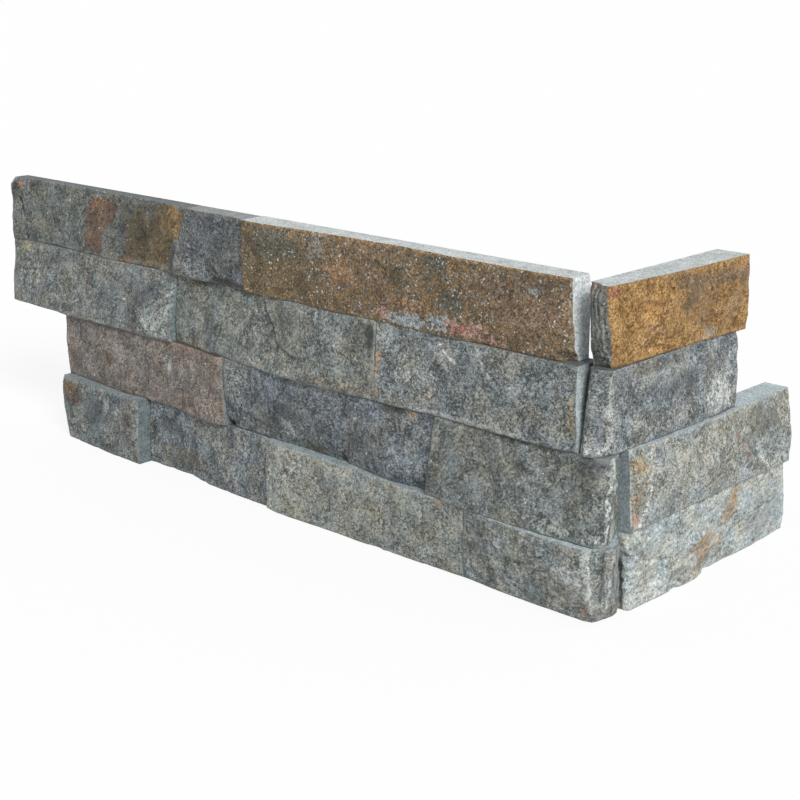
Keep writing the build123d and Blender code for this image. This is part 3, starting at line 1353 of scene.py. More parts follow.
        ragged = step_between(noise.layered(arm, self.RAGGED_MM, 3), *self.RAGGED)
        near_edge = 1 - step_between(skin.inside, 0.0, self.ARRIS_MM)
        calm = self.CALM * (1 - step_between(skin.inside, 0.0, self.CALM_MM))
        lift = self.relief(arm, noise) * (1 - calm)
        lift -= self.arris_wear * near_edge * (0.3 + 1.4 * ragged ** 2)
        for chip in self.chips:
            lift -= chip.bite(arm, noise)
        skin.places += outward * lift[:, None]
        skin.settle()
        low, high = (np.array(corner) / MM for corner in CAD_BOUNDS)
        skin.places = np.clip(skin.places, low, high)

        # How far each point stands out from its neighbours; the material paints the rises lighter and the
        # hollows darker, as painted light and shade.
        risen = np.einsum("ij,ij->i", skin.places - skin.spread(skin.places, self.RELIEF_ROUNDS), outward)
        return {
            "worn": near_edge * (0.25 + 0.75 * ragged),
            "relief": 0.5 + np.clip(risen / self.SHADED_RELIEF_MM, -0.5, 0.5),
            # Stains, together with the painted shade and highlights of some veins.
            "stain_and_painted_shading": self.stains_and_painted_shading(arm, noise),
        }

    def stains_and_painted_shading(self, arm: np.ndarray, noise: Noise) -> np.ndarray:
        """Lay the strip's patches, and then its veins, over each other; some veins are painted shade and
        highlights.

        Args:
            arm: Points as along, depth and up.
            noise: The strip's noise.

        Returns:
            A colour and an amount for each point.
        """
        laid = np.zeros((len(arm), 4))
        for patch in (*self.patches, *self.veins):
            amount = patch.amount(arm, noise)
            total = amount + laid[:, 3] * (1 - amount)
            share = np.divide(amount, total, out=np.zeros_like(total), where=total > 0)
            laid[:, :3] += share[:, None] * (np.array(patch.pigment.value) - laid[:, :3])
            laid[:, 3] = total
        return laid

    def store(self, mesh: bpy.types.Mesh, name: str, values: np.ndarray) -> None:
        """Write values to a mesh for its material to read.

        Args:
            mesh: The strip's mesh.
            name: The attribute's name.
            values: One value for each point, or four for a colour with an amount.
        """
        if values.ndim > 1:
            target, field_name = mesh.attributes.new(name, "FLOAT_COLOR", "POINT"), "color"
        else:
            target, field_name = mesh.attributes.new(name, "FLOAT", "POINT"), "value"
        target.data.foreach_set(field_name, values.astype(np.float32).ravel())


GREY_GREEN = StoneFinish(
    dark=(0.062, 0.068, 0.064), middle=(0.180, 0.192, 0.182), light=(0.370, 0.390, 0.370),
    mottle=1.6, grain=0.88,
)
BLUE_GREY = StoneFinish(
    dark=(0.045, 0.050, 0.054), middle=(0.135, 0.148, 0.155), light=(0.300, 0.325, 0.335),
    mottle=1.5, grain=0.92,
)
MID_GREY = StoneFinish(
    dark=(0.060, 0.067, 0.066), middle=(0.195, 0.210, 0.208), light=(0.430, 0.450, 0.445),
    mottle=1.4, grain=0.92,
)
PALE_GREY = StoneFinish(
    dark=(0.095, 0.098, 0.088), middle=(0.290, 0.305, 0.285), light=(0.520, 0.535, 0.505),
    bruise=(0.48, 0.49, 0.46), mottle=1.3, blotch=1.0, grain=0.95,
)
WHITE_GREY = StoneFinish(
    dark=(0.130, 0.135, 0.122), middle=(0.370, 0.385, 0.360), light=(0.680, 0.695, 0.660),
    bruise=(0.62, 0.63, 0.60), mottle=1.3, blotch=1.3, grain=0.92, streak=0.6,
)
WASHED_GREY = replace(WHITE_GREY, mottle=1.0, blotch=0.68, grain=0.64, streak=1.2)
RUST_BROWN = StoneFinish(
    dark=(0.080, 0.062, 0.045), middle=(0.200, 0.148, 0.098), light=(0.340, 0.250, 0.165),
    sparkle=0.105, pepper=0.10, blotch=0.9, grain=1.15, hue=0.8, hue_mm=3.2,
    cool=(0.64, 0.78, 0.92), warm=(1.22, 1.05, 0.74),
)
GOLDEN = StoneFinish(
    dark=(0.120, 0.070, 0.030), middle=(0.340, 0.200, 0.085), light=(0.600, 0.400, 0.190),
    sparkle=0.016, mottle=1.2, blotch=1.1, hue=0.3, grain=0.88,
)
MAUVE_BROWN = StoneFinish(
    dark=(0.078, 0.066, 0.058), middle=(0.195, 0.170, 0.152), light=(0.360, 0.325, 0.295),
    sparkle=0.020, mottle=1.2, blotch=0.9, hue=0.3, grain=0.85,
)


# Each row runs from the far end of the long arm to the corner, and its return strip comes last.
# Patches and veins cover each other in the order of their lists.
# The sawn tops' and ends' colours below carry painted light and shade: dark tops stand for the shade lines
# between rows, and lit tops are painted lighter.
BOTTOM_ROW = (
    Strip(
        "row_1_stone_a", MID_GREY, tint=(0.82, 0.83, 0.83), sawn_top_with_painted_light=(0.22, 0.25, 0.26),
        sawn_end=(0.155, 0.185, 0.190),
        patches=(
            Patch(376, 28, (8, 7), RUST, 0.6), Patch(380, 34, (7, 3), GOLD, 0.6),
            Patch(319, 22, (6, 13), RUST, 0.42), Patch(312, 33, (6, 4), TAN, 0.35),
            Patch(351, 23, (16, 12), SLATE, 0.6), Patch(340, 30, (4, 6), PALE, 0.5),
            Patch(383, 12, (5, 9), PALE, 0.3),
        ),
        chips=(Chip(387, 20, 38.1, 6, 1.6),),
    ),
    Strip(
        "row_1_stone_b", BLUE_GREY, tint=(1.22, 1.21, 1.18),
        patches=(
            Patch(286, 9, (17, 8), OLIVE, 0.45), Patch(262, 12, (10, 7), BROWN, 0.3),
            Patch(235, 14, (12, 10), PALE, 0.4), Patch(215, 8, (8, 7), OLIVE, 0.35),
            Patch(288, 26, (10, 6), SLATE, 0.6),
        ),
    ),
    Strip(
        "row_1_stone_c", PALE_GREY, tint=(0.93, 0.93, 0.91), sawn_top_with_painted_light=(0.30, 0.35, 0.36),
        patches=(
            Patch(121.5, 34, (0.9, 1.1), ORANGE), Patch(115.4, 21.9, (1.0, 1.3), ORANGE),
            Patch(107.5, 10.5, (0.9, 1.1), ORANGE), Patch(84.1, 23.6, (1.0, 1.0), RUST),
            Patch(78.7, 13.0, (0.9, 1.8), ORANGE), Patch(82.2, 5.9, (1.2, 1.2), RUST),
            Patch(80.6, 0.8, (1.0, 1.2), ORANGE), Patch(74.7, 36.4, (3.9, 1.6), TAN),
            Patch(150, 14, (14, 8), TAN, 0.22), Patch(96, 12, (16, 9), TAN, 0.28),
            Patch(182, 24, (7, 8), CREAM, 0.35), Patch(198, 18, (2.2, 18), CREAM, 0.5),
            Patch(130, 26, (12, 5), SLATE, 0.25), Patch(165, 32, (8, 4), MOSS, 0.3),
        ),
        chips=(Chip(202, 22, 38.1, 5, 1.5), Chip(120, 22, 0, 5, 1.0)),
    ),
    Strip(
        "row_1_stone_d", replace(MID_GREY, grain=0.8), rough_nose=True, tint=(1.20, 1.20, 1.17),
        sawn_top_with_painted_light=(0.38, 0.44, 0.46), smoothing=1,
        patches=(
            Patch(-4.9, 12, (9.3, 8.6), BUFF, 0.4), Patch(-9, 4, (6, 4), PINK, 0.3),
            Patch(-17, 18, (9, 60), SHADE, 0.3, depth=8, deep=20, soft=0.3),
            Patch(-8, 22, (7, 16), MILK, 0.35, depth=30, deep=12), Patch(30, 14, (9, 7), PALE, 0.35),
            Patch(50, 22, (9, 12), SLATE, 0.35), Patch(18, 5, (8, 4), SLATE, 0.5),
            Patch(6, 27, (9, 7), PALE, 0.3),
        ),
        veins=(
            # The first vein is a painted highlight along the arris of the nose.
            Vein(((30.5, 38), (28.5, 28), (25.5, 14), (22.5, 0)), MILK, 0.95, 0.8, beyond=-11),
            Vein(((23, 36), (21.5, 26), (19.5, 10)), SHADE, 0.42, 0.8, beyond=-13),
            Vein(((18, 34), (17, 22), (15, 6)), MILK, 0.75, 0.8, beyond=-13),
            Vein(((14, 36), (13, 24), (12.5, 8)), SHADE, 0.4, 0.7, beyond=-13),
            Vein(((9, 34), (10, 20), (8, 6)), MILK, 0.7, 0.8, beyond=-13),
        ),
        chips=(Chip(-15, 22, 0, 7, 1.2),),
    ),
    Strip(
        "row_1_return_stone", WASHED_GREY, side=Side.RETURN, rough_nose=True, tint=(1.0, 1.035, 1.055),
        steps=0.35, arris_wear=0.25, smoothing=34, grain_lean=6.0,
        patches=(
            Patch(-1, 22, (2.4, 30), SLATE, 0.35, depth=9, deep=6, soft=0.5),
            Patch(12.2, 4.3, (12, 5), CREAM, 0.5), Patch(39.8, 7.1, (10, 3.4), MOSS, 0.45),
            Patch(115, 14.7, (20, 9), BLUE, 0.35), Patch(30, 26, (20, 5), BLUE, 0.4),
            Patch(8, 26, (7, 6), MOSS, 0.3), Patch(60, 30, (9, 5), BLUE, 0.3),
            Patch(62, 13, (13, 7), TAN, 0.5), Patch(96, 31, (9, 5), BLUE, 0.3),
            Patch(84, 27, (7, 9), TAN, 0.45, turn=-35), Patch(46, 31, (30, 2), SLATE, 0.25),
            Patch(20, 5, (24, 6), MILK, 0.42), Patch(60, 4, (12, 3), PALE, 0.3),
            Patch(124, 21, (17, 14), BLUE, 0.38),
        ),
        veins=(
            Vein(((92, 37), (88, 30), (85, 25), (79, 18), (77, 13), (75, 9)), HONEY, 0.42, 2.7),
            Vein(((76, 24), (71, 19), (63, 17), (58, 16), (49, 15)), HONEY, 0.36, 2.6),
            Vein(((64, 14), (62, 10), (56, 7), (53, 4)), HONEY, 0.44, 3.4),
            Vein(((91, 36), (87, 29), (84, 24)), AMBER, 0.5, 0.9),
            # These two veins are painted shade: the shadow line under the row above, and the shade in the
            # closed gap beside the long arm's nose.
            Vein(((1, 37.9), (44, 37.6), (74, 37.9), (130, 37.9)), SHADE, 0.75, 0.7),
            Vein(((12, 24), (12.4, 14), (13, 0)), SHADE, 0.95, 1.1, beyond=2.5),
        ),
        chips=(Chip(66, 17, 0, 5, 1.2), Chip(36, 18, 0, 5, 1.0)),
    ),
)
SECOND_ROW = (
    Strip(
        "row_2_stone_a", MAUVE_BROWN, sawn_top_with_painted_light=(0.11, 0.08, 0.06), rim=TAN,
        patches=(
            Patch(271, 35, (30, 4.5), ORANGE, 0.38), Patch(343.7, 17.5, (3.6, 4.5), RUST, 0.6),
            Patch(287, 25.8, (4, 4), PALE, 0.6), Patch(260.7, 6.6, (26, 8), TAN, 0.34),
            Patch(245, 16, (9, 12), TAN, 0.25), Patch(372, 22, (12, 14), SHADE, 0.18),
            Patch(300, 8, (16, 6), OLIVE, 0.25), Patch(322, 30, (10, 5), RUST, 0.25),
            Patch(242, 30, (4, 6), RUST, 0.4),
        ),
        chips=(Chip(237, 20, 38.1, 4, 1.5),),
    ),
    Strip(
        "row_2_stone_b", BLUE_GREY, tint=(1.08, 1.08, 1.08),
        patches=(
            Patch(224, 27, (11, 11), BLUE, 0.42), Patch(191.5, 17, (15, 10), SLATE, 0.5),
            Patch(187.6, 9.5, (4.6, 5), PALE, 0.55), Patch(98, 35.5, (2.7, 1.7), TAN, 0.8),
            Patch(110.6, 36, (9, 2.8), SHADE, 0.6), Patch(228, 8, (9, 6), PALE, 0.3),
            Patch(160, 27, (14, 5), BLUE, 0.3), Patch(130, 16, (12, 8), SLATE, 0.4),
            Patch(208, 6, (12, 3), OLIVE, 0.35), Patch(170, 2.5, (22, 3), MOSS, 0.5),
        ),
        scars=(
            Scar(((192, 14), (185, 11), (182, 5), (185, 2)), groove=0.7, step=0.8, fade=8),
            Scar(((205, 37), (202, 26), (200, 12)), step=0.9, groove=0.2, fade=12),
        ),
        chips=(Chip(237, 18, 0, 7.5, 4.5), Chip(146, 18, 0, 4, 1.5), Chip(93, 20, 1, 5, 0.8)),
    ),
    Strip(
        "row_2_stone_c", GREY_GREEN, rough_nose=True, tint=(0.87, 0.87, 0.86), sawn_top_with_painted_light=(0.24, 0.26, 0.25),
        smoothing=5,
        patches=(
            Patch(-12.8, 17.3, (3.5, 4.5), PALE, 0.35), Patch(36, 12, (12, 8), PALE, 0.3),
            Patch(60, 24, (16, 9), SLATE, 0.3), Patch(0, 25, (12, 8), SHADE, 0.25),
            Patch(8, 4, (16, 3.5), PALE, 0.4), Patch(-14, 4, (6, 4), PALE, 0.5),
            Patch(-18, 17, (3.5, 30), MILK, 0.22, depth=14, deep=11, soft=0.5),
            Patch(-8, 34, (8, 4), SLATE, 0.5),
        ),
        veins=(
            Vein(((13, 38), (15, 31), (19.7, 23.6), (21.6, 12.8), (20.5, 0)), MILK, 0.95, 0.8, beyond=-11),
            Vein(((16, 0), (16.5, 14), (15, 24), (16, 32)), PALE, 0.45, 3.0, beyond=-14),
            Vein(((19, 22), (18.5, 12), (18, 2)), SHADE, 0.6, 0.7, beyond=-14),
            # This vein is painted shade along the crack and step of the first scar below.
            Vein(((46, 38), (42, 34), (40, 30), (37, 27), (34, 26)), SHADE, 0.5, 0.5),
        ),
        scars=(
            Scar(((46, 38), (42, 34), (40, 30), (37, 27), (34, 26)), groove=0.7, step=0.5, fade=6),
            Scar(((26, 33), (18, 27), (10, 22), (4, 20)), step=0.6, groove=0.3, fade=9),
            Scar(((-6, 22), (-8, 15), (-10, 10)), step=0.5, groove=0.3, fade=6),
        ),
    ),
    Strip(
        "row_2_return_stone", WHITE_GREY, side=Side.RETURN, tint=(0.75, 0.76, 0.76),
        sawn_top_with_painted_light=(0.42, 0.48, 0.50), sawn_end=(0.275, 0.322, 0.340), painted_shade_depth=2.0,
        patches=(
            Patch(6, 30, (7, 5), OCHRE, 0.6), Patch(4, 8, (4.5, 6.5), TAN, 0.4),
            Patch(4.6, 4, (4, 4), PINK, 0.3), Patch(7, 13, (6, 4), BUFF, 0.4),
            Patch(97, 13, (6.5, 4), RED, 0.22), Patch(133.5, 18.9, (1.6, 3.4), RED, 0.4),
            Patch(88.4, 23.1, (2.6, 2.9), RED, 0.3), Patch(94, 18, (2.0, 3), RED, 0.35),
            Patch(109.7, 28, (21, 9), MOSS, 0.5), Patch(70, 10, (9, 5), MOSS, 0.4),
            Patch(114.7, 6, (19, 5), CREAM, 0.35), Patch(74, 31, (7, 4), TAN, 0.4),
            Patch(28, 8, (7, 6), MOSS, 0.25), Patch(40, 16, (5, 8), PALE, 0.3),
        ),
        veins=(
            Vein(((15.7, 38), (15.4, 30), (14.6, 22), (13.8, 15), (11.2, 9), (6.0, 1.5)), CREAM, 0.72, 1.0),
            Vein(((13, 27), (11, 21.4), (4.6, 15.8), (2, 14)), HONEY, 0.55, 1.1),
            Vein(((2, 33), (8, 28), (13, 28)), HONEY, 0.55, 1.1),
            Vein(((16.5, 37), (16.2, 33), (16, 28)), RED, 0.4, 0.6),
            Vein(((96, 20), (99, 14), (97, 9)), RED, 0.5, 0.8),
            Vein(((26, 37), (30, 33), (37, 30)), SHADE, 0.4, 0.7),
        ),
    ),
)
THIRD_ROW = (
    Strip(
        "row_3_stone_a", GREY_GREEN, tint=(0.94, 0.94, 0.95), sawn_end=(0.165, 0.205, 0.205),
        painted_shade_depth=4.0,
        patches=(
            Patch(429.4, 34.7, (3.3, 2.7), OCHRE, 0.9), Patch(422, 20, (14, 14), PALE, 0.32),
            Patch(365.2, 20.7, (2.2, 14), BUFF, 0.55),
            Patch(293, 9, (7, 8), PALE, 0.5, ragged=0.15, soft=0.4),
            Patch(333.1, 22.3, (22, 13), SLATE, 0.35), Patch(392, 12, (14, 9), PALE, 0.3),
            Patch(395, 30, (12, 4), SLATE, 0.4), Patch(310, 28, (14, 6), SLATE, 0.3),
            Patch(382, 34, (10, 3), SLATE, 0.5), Patch(285, 30, (5, 6), PALE, 0.3),
            Patch(304, 6.5, (9, 5), PALE, 0.5, turn=-30, ragged=0.15, soft=0.4),
            Patch(288, 19, (3.5, 8), PALE, 0.5, ragged=0.15, soft=0.4),
            Patch(309, 21, (18, 5), SLATE, 0.45, turn=-38),
        ),
        scars=(
            Scar(((320, 3), (311, 10), (303, 17), (295, 23), (288, 29)), step=0.8, groove=0.25, fade=9),
        ),
        chips=(Chip(440, 12, 0, 5, 1.0),),
    ),
    Strip(
        "row_3_stone_b", GREY_GREEN, tint=(0.94, 0.94, 0.92), lumps=0.75, facets=0.07,
        patches=(
            Patch(129.3, 29.6, (4.4, 6.2), SHADE, 0.6), Patch(213.6, 21.8, (6.6, 12.5), PALE, 0.35),
            Patch(189.3, 31, (12, 7), MOSS, 0.35), Patch(150, 3.6, (28, 3), TAN, 0.4),
            Patch(268, 34, (3, 2), OCHRE, 0.6), Patch(240, 33, (12, 4), MOSS, 0.45),
            Patch(250, 14, (9, 6), SLATE, 0.35), Patch(199, 8, (9, 6), TAN, 0.35),
            Patch(178, 17, (9, 9), MOSS, 0.25), Patch(140, 14, (9, 9), OCHRE, 0.18),
        ),
        # The vein is painted shade along the step of the first scar.
        veins=(Vein(((204, 27), (200, 24), (196, 20), (194, 16)), SHADE, 0.5, 0.5),),
        scars=(
            Scar(
                ((206, 31), (204, 27), (200, 24), (196, 20), (194, 16), (189, 14), (183, 13)),
                groove=0.7, step=-1.8, width=1.1, fade=13,
            ),
            Scar(((216, 6), (212, 4), (207, 3)), groove=0.8, step=0.6, fade=4),
            Scar(((236, 38), (238, 28), (245, 18), (246, 8)), step=0.7, fade=8),
            Scar(((160, 36), (158, 26), (163, 18)), step=0.6, groove=0.2, fade=9),
            Scar(((148, 20), (138, 17), (130, 22), (126, 28)), step=-0.6, fade=8),
        ),
        chips=(Chip(124, 18, 38.1, 5, 1.4), Chip(250, 12, 38.1, 14, 1.2)),
    ),
    Strip(
        "row_3_stone_c", MID_GREY, tint=(0.90, 0.90, 0.89), sawn_end=(0.42, 0.47, 0.48), painted_shade_depth=11.0,
        facets=0.07,
        patches=(
            Patch(87.6, 9.8, (5.3, 3.6), TAN, 0.4), Patch(61, 1.2, (42, 1.6), PALE, 0.7),
            Patch(4.6, 15, (1.6, 12), OCHRE, 0.6), Patch(11, 7, (4, 6), OCHRE, 0.3),
            Patch(105, 14.6, (5.5, 5), PALE, 0.5), Patch(104, 26, (3, 5), PALE, 0.4),
            Patch(70, 24, (14, 8), SLATE, 0.3), Patch(38, 20, (16, 9), SLATE, 0.2),
            Patch(60, 32, (6, 4), PALE, 0.4), Patch(118, 32, (4, 4), BLUE, 0.5),
            Patch(30, 34, (10, 3), MOSS, 0.3),
        ),
        veins=(
            Vein(((122, 24), (123, 14), (121, 2)), HONEY, 0.9, 1.1),
            Vein(((86, 36), (80, 30), (74, 27)), CREAM, 0.5, 0.8),
            Vein(((98, 18), (90, 20), (84, 15), (88, 9)), CREAM, 0.4, 0.8),
        ),
        scars=(
            Scar(((92, 34), (84, 30), (78, 24)), groove=0.3, step=0.7, fade=8),
            Scar(((60, 36), (56, 28), (50, 24)), groove=0.2, step=0.6, fade=8),
            Scar(((34, 18), (28, 14), (20, 16)), groove=0.2, step=0.5, fade=7),
        ),
    ),
    Strip(
        "row_3_return_stone", MID_GREY, side=Side.RETURN, rough_nose=True, tint=(0.92, 0.92, 0.925),
        lumps=0.8, facets=0.07, smoothing=6,
        patches=(
            Patch(73.4, 10.9, (12, 10), MILK, 0.6, soft=0.6), Patch(32.4, 23, (22, 6), SLATE, 0.45),
            Patch(-16.6, 12, (1.6, 9), SLATE, 0.75), Patch(-18.7, 2.6, (5, 2.2), CREAM, 0.35),
            Patch(60, 26, (14, 7), SLATE, 0.4), Patch(84, 24, (4, 9), PALE, 0.4),
            Patch(-16, 19, (4, 60), BLUE, 0.3, depth=4, deep=7.5, soft=0.2),
            Patch(-6, 26, (5, 12), SLATE, 0.35), Patch(12, 8, (12, 6), PALE, 0.25),
            Patch(20, 34, (22, 3), MOSS, 0.45), Patch(60, 4, (20, 3), SLATE, 0.3),
            Patch(40, 14, (7, 6), PALE, 0.25),
        ),
        # The vein is a painted highlight along the arris of the nose.
        veins=(Vein(((12, 36), (12, 20), (12.2, 2)), PALE, 0.85, 0.6, beyond=-9),),
        scars=(
            Scar(((88, 16), (80, 19), (72, 17), (66, 12), (62, 5)), step=-0.9, groove=0.3, fade=9),
            Scar(((40, 34), (34, 28), (24, 26), (14, 20)), step=0.8, groove=0.2, fade=9),
        ),
    ),
)
TOP_ROW = (
    Strip(
        "row_4_stone_a", GREY_GREEN, tint=(0.745, 0.735, 0.705), sawn_top_with_painted_light=(0.130, 0.140, 0.145),
        patches=(
            Patch(352, 27, (15, 9), RUST, 0.75, soft=0.8), Patch(359, 14, (10, 13), RUST, 0.75, soft=0.8),
            Patch(357, 30, (5, 4), ORANGE, 0.4), Patch(309, 21, (24, 20), OLIVE, 0.9, soft=0.4),
            Patch(308, 32, (8, 5), SLATE, 0.35), Patch(286, 28, (12, 11), GOLD, 0.8, soft=0.6),
            Patch(300, 10, (10, 7), GOLD, 0.4), Patch(285, 33, (5, 4), HONEY, 0.5),
            Patch(280, 24, (3, 5), HONEY, 0.5), Patch(333, 18, (5, 14), SLATE, 0.5),
            Patch(329.6, 1.2, (8, 1.8), ORANGE, 0.7), Patch(432.6, 34, (3, 2.6), ORANGE, 0.6),
            Patch(437, 33, (2.5, 3), SHADE, 0.7), Patch(325, 30, (5, 4), SLATE, 0.6),
            Patch(400, 24, (18, 9), SLATE, 0.25), Patch(415, 10, (12, 6), MOSS, 0.3),
            Patch(375, 32, (10, 4), PALE, 0.2), Patch(281, 6, (5, 8), SLATE, 0.7),
            Patch(302, 2, (16, 2.2), OCHRE, 0.35), Patch(380, 14, (8, 8), MOSS, 0.35),
        ),
        veins=(
            # The first vein is painted shade in the crack that the scar cuts.
            Vein(((434, 27), (432, 21), (430, 14)), SHADE, 0.95, 0.7),
            Vein(((429.5, 4.5), (427, 1)), SHADE, 0.9, 0.8),
        ),
        scars=(Scar(((434, 27), (432, 21), (430, 14)), groove=1.2, width=0.8),),
        breaks=(
            Break((360, 1.0, 38.1), (0, -0.75, 1)), Break((360, 0.0, 37.0), (0, -1, 0.45)),
            Break((438.6, 0.0, 38.1), (1, 0, 0.8)),
        ),
    ),
    Strip(
        "row_4_stone_b", BLUE_GREY, tint=(0.92, 0.89, 0.88), sawn_top_with_painted_light=(0.27, 0.28, 0.28), rim=OCHRE,
        patches=(
            Patch(247, 21, (17, 13), SLATE, 0.4), Patch(271, 14, (3, 16), PALE, 0.35),
            Patch(238, 1.8, (20, 2), SHADE, 0.7), Patch(262, 6, (10, 5), BLUE, 0.35),
        ),
        chips=(Chip(245, 12, 0, 16, 1.4),),
        breaks=(Break((250, 1.0, 38.1), (0, -0.75, 1)),),
    ),
    Strip(
        "row_4_stone_c", RUST_BROWN, tint=(0.95, 0.94, 0.90), sawn_top_with_painted_light=(0.53, 0.555, 0.555),
        # Its sawn end is painted light: lighter than the stone, standing for light thrown back onto it, and
        # with no painted shade towards its back.
        sawn_end=(0.70, 0.74, 0.75), painted_shade_depth=-4.0, rim=HONEY, lumps=0.4,
        patches=(
            Patch(231, 34, (7, 14), SLATE, 1.0, soft=0.4), Patch(198, 28, (16, 9), MOSS, 0.75),
            Patch(196, 9, (22, 11), GOLD, 0.6), Patch(176, 18, (12, 12), OLIVE, 0.45),
            Patch(215, 20, (8, 14), OLIVE, 0.45), Patch(169, 31, (5, 8), BUFF, 0.7, turn=25),
            Patch(151, 22, (9, 7), ORANGE, 0.6), Patch(121.2, 5.2, (5, 3), PINK, 0.8),
            Patch(138, 34, (20, 4), BROWN, 0.55), Patch(160, 8, (16, 5), GOLD, 0.6),
            Patch(130, 20, (16, 9), BROWN, 0.5), Patch(89.6, 33.5, (9, 4), MOSS, 0.7),
            Patch(78.4, 17, (9, 6), MOSS, 0.75), Patch(104, 11, (18, 4), ORANGE, 0.55),
            Patch(104, 3.2, (15, 4.5), BLUE, 0.72, ragged=0.8),
            Patch(85, 6, (6, 3.4), BLUE, 0.65, ragged=0.7), Patch(68, 5, (12, 3.6), PINK, 0.7, ragged=0.8),
            Patch(72.8, 4.8, (4, 2.2), RED, 0.65, ragged=0.8),
            Patch(52, 3, (9, 2.5), PINK, 0.5, ragged=0.8), Patch(112, 26, (9, 6), OLIVE, 0.5),
            Patch(62, 24, (10, 8), BROWN, 0.4), Patch(33, 18, (24, 15), BROWN, 0.6),
            Patch(29.7, 29.8, (3.6, 1.8), PALE, 0.6), Patch(13, 3.7, (4, 2.4), SHADE, 0.5),
            Patch(16, 8, (9, 5), GOLD, 0.45), Patch(10, 18, (1.4, 30), TAN, 0.6, soft=0.6),
            Patch(20, 33, (10, 4), SHADE, 0.3), Patch(138, 4, (8, 3), RUST, 0.6),
            Patch(48, 30, (22, 7), SHADE, 0.2), Patch(110, 37.7, (110, 0.9), HONEY, 0.5),
        ),
        chips=(Chip(9.5, 9, 0, 6, 2.0), Chip(60, 15, 0, 9, 0.8)),
        breaks=(Break((9.5, 1.5, 38.1), (-1, -1.2, 0.9)), Break((9.5, 0.0, 30.0), (-1, -0.9, 0.15))),
    ),
    Strip(
        "row_4_return_stone", GOLDEN, side=Side.RETURN, rough_nose=True, tint=(0.93, 0.885, 0.77),
        sawn_top_with_painted_light=(0.50, 0.535, 0.53), rim=TAN, lumps=0.6, smoothing=14,
        patches=(
            Patch(-16, 19, (14, 90), LICHEN, 1.0, depth=0, deep=10.8, soft=0.16, ragged=0.05),
            Patch(50.6, 24, (18, 12), UMBER, 0.45), Patch(46, 28, (9, 8), OLIVE, 0.3),
            Patch(27.4, 4, (12, 4), AMBER, 0.6), Patch(65.3, 3.6, (6.1, 3.1), TAN, 0.65),
            Patch(-12, 35, (4, 3), RED, 0.55), Patch(79.8, 12.5, (9, 7), HONEY, 0.5),
            Patch(20, 24, (12, 9), AMBER, 0.35), Patch(8, 10, (10, 8), HONEY, 0.4),
            Patch(70, 31, (14, 4), UMBER, 0.5), Patch(36, 33, (10, 4), UMBER, 0.45),
            Patch(60, 10, (9, 5), UMBER, 0.4), Patch(84, 28, (4, 7), UMBER, 0.5),
            Patch(77, 21, (9, 14), UMBER, 0.32),
        ),
        veins=(
            Vein(((2.5, 38), (3, 26), (2, 12)), CREAM, 0.55, 0.6, beyond=-9),
            Vein(((6.5, 38), (6, 24), (7, 10), (6.6, 0)), SHADE, 0.65, 0.5, beyond=-9),
            Vein(((5.6, 36), (5.4, 22), (5.9, 6)), CREAM, 0.35, 0.5, beyond=-9),
            Vein(((9.5, 38), (9.8, 22), (8.8, 6)), SHADE, 0.6, 0.5, beyond=-9),
            Vein(((8.2, 34), (8.0, 20), (8.3, 4)), MILK, 0.35, 0.5, beyond=-9),
            Vein(((4.4, 34), (4.8, 20), (4.2, 8)), SHADE, 0.5, 0.5, beyond=-9),
            Vein(((1.2, 36), (1.4, 18), (1.0, 4)), SHADE, 0.6, 0.5, beyond=-9),
        ),
        scars=(Scar(((20, 14), (12, 11), (4, 5), (8, 0)), step=0.7, groove=0.2, fade=9),),
        chips=(Chip(-13, 3, 0, 8, 2.2), Chip(-16, 4, 38.1, 5, 1.5)),
    ),
)


@dataclass
class CladdingCorner:
    """The whole corner piece: rows of strips on two arms, from the bottom up."""

    rows: tuple[tuple[Strip, ...], ...] = (BOTTOM_ROW, SECOND_ROW, THIRD_ROW, TOP_ROW)

    def build(self) -> None:
        """Build every strip."""
        for row, strips in enumerate(self.rows, 1):
            for strip in strips:
                strip.build(row)


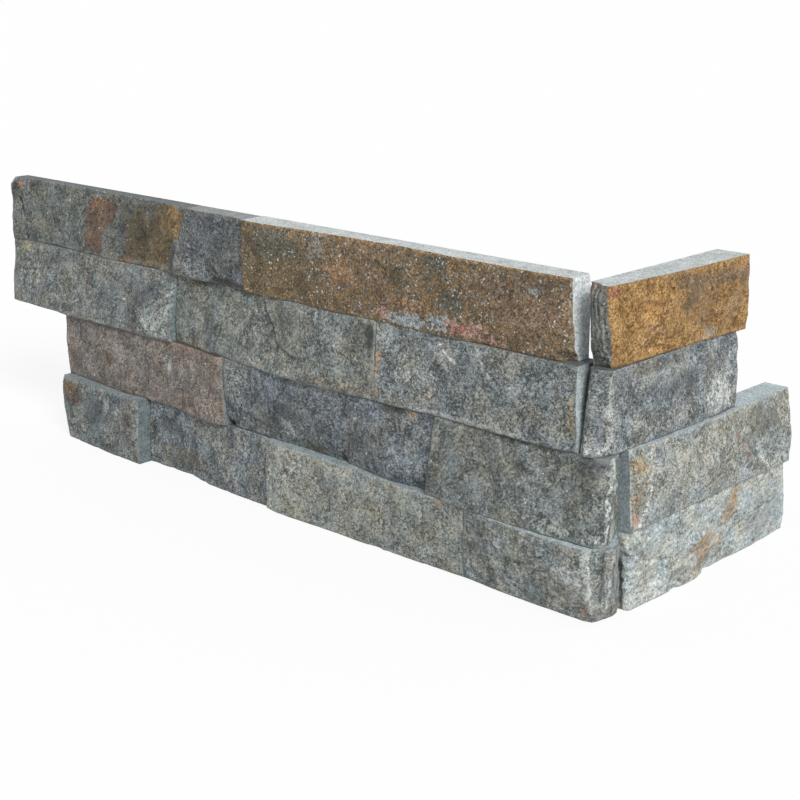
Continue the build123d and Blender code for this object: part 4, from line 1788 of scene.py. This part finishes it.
@dataclass
class Studio:
    """The pale floor, the soft light and the camera at the photograph's place.

    Places are in metres and turns in degrees. floor_paint is what lights the stone, and floor_shown and
    floor_glow are for the rays that show the floor. key_from points from the stone to the lamp.
    """

    camera_place: tuple[float, float, float] = (0.3846, -0.5415, 0.2929)
    camera_turn: tuple[float, float, float] = (73.4, 0.0, 43.23)
    lens_mm: float = 69.8
    floor_size: float = 60.0
    floor_drop: float = 0.0002
    floor_paint: Colour = (0.60, 0.60, 0.60)
    floor_shown: Colour = (0.98, 0.98, 0.98)
    floor_glow: float = 0.82
    sky: float = 0.52
    sky_colour: Colour = (0.97, 0.985, 1.0)
    key: float = 2.5
    key_spread: float = 24.0
    key_from: tuple[float, float, float] = (0.80, -0.40, 0.66)

    def build(self) -> None:
        """Set the floor, the lamp, the world and the camera."""
        self.floor()
        self.lamp()
        self.world()
        self.camera()

    def shown(self, shader: Shader) -> Wire:
        """Tell the rays that show the background, straight or mirrored, from those that light the stone.

        Args:
            shader: The shader that asks.

        Returns:
            1 for a ray that shows the background, and 0 for any other.
        """
        seen = shader.node("ShaderNodeLightPath", {}, {}, "Is Camera Ray")
        for kind in ("Is Glossy Ray", "Is Transmission Ray"):
            seen = seen + shader.node("ShaderNodeLightPath", {}, {}, kind)
        return seen.clamped()

    def floor(self) -> None:
        """Lay the floor just under the stone."""
        bpy.ops.mesh.primitive_plane_add(size=self.floor_size, location=(0.0, 0.0, -self.floor_drop))
        ground = bpy.context.object
        ground.name = "studio_floor"
        shader = Shader(bpy.data.materials.new("studio_floor_paint"))
        shown = self.shown(shader)
        paint = shader.mix(shown, self.floor_paint, self.floor_shown)
        diffuse = shader.node("ShaderNodeBsdfDiffuse", {}, {"Color": paint})
        white = shader.node("ShaderNodeEmission", {}, {"Color": (1.0, 1.0, 1.0, 1.0), "Strength": 1.0})
        blend = shader.node("ShaderNodeMixShader", {}, {0: shown * self.floor_glow, 1: diffuse, 2: white})
        ground.data.materials.append(shader.close(blend))

    def lamp(self) -> None:
        """Hang the soft lamp, which looks as wide as key_spread says, in degrees."""
        lamp = bpy.data.lights.new("key_lamp", "SUN")
        lamp.energy = self.key
        lamp.angle = math.radians(self.key_spread)
        holder = bpy.data.objects.new("key_lamp", lamp)
        holder.rotation_euler = Vector(self.key_from).to_track_quat("Z", "Y").to_euler()
        bpy.context.scene.collection.objects.link(holder)

    def world(self) -> None:
        """Fill the room with even light."""
        shader = Shader(bpy.data.worlds.new("studio_room"))
        strength = self.sky + self.shown(shader) * (1.0 - self.sky)
        values = {"Color": (*self.sky_colour, 1.0), "Strength": strength}
        bpy.context.scene.world = shader.close(shader.node("ShaderNodeBackground", {}, values))

    def camera(self) -> None:
        """Put the camera where the photograph was taken from."""
        eye = bpy.data.cameras.new("photo_camera")
        eye.lens = self.lens_mm
        holder = bpy.data.objects.new("photo_camera", eye)
        holder.location = self.camera_place
        holder.rotation_euler = Euler([math.radians(angle) for angle in self.camera_turn])
        bpy.context.scene.collection.objects.link(holder)
        bpy.context.scene.camera = holder


def main() -> None:
    """Build the corner piece and the studio round it."""
    logging.basicConfig(level=logging.INFO, format="%(name)s: %(message)s")
    bpy.context.scene.view_settings.view_transform = "Standard"
    CladdingCorner().build()
    Studio().build()


if __name__ == "__main__":
    main()
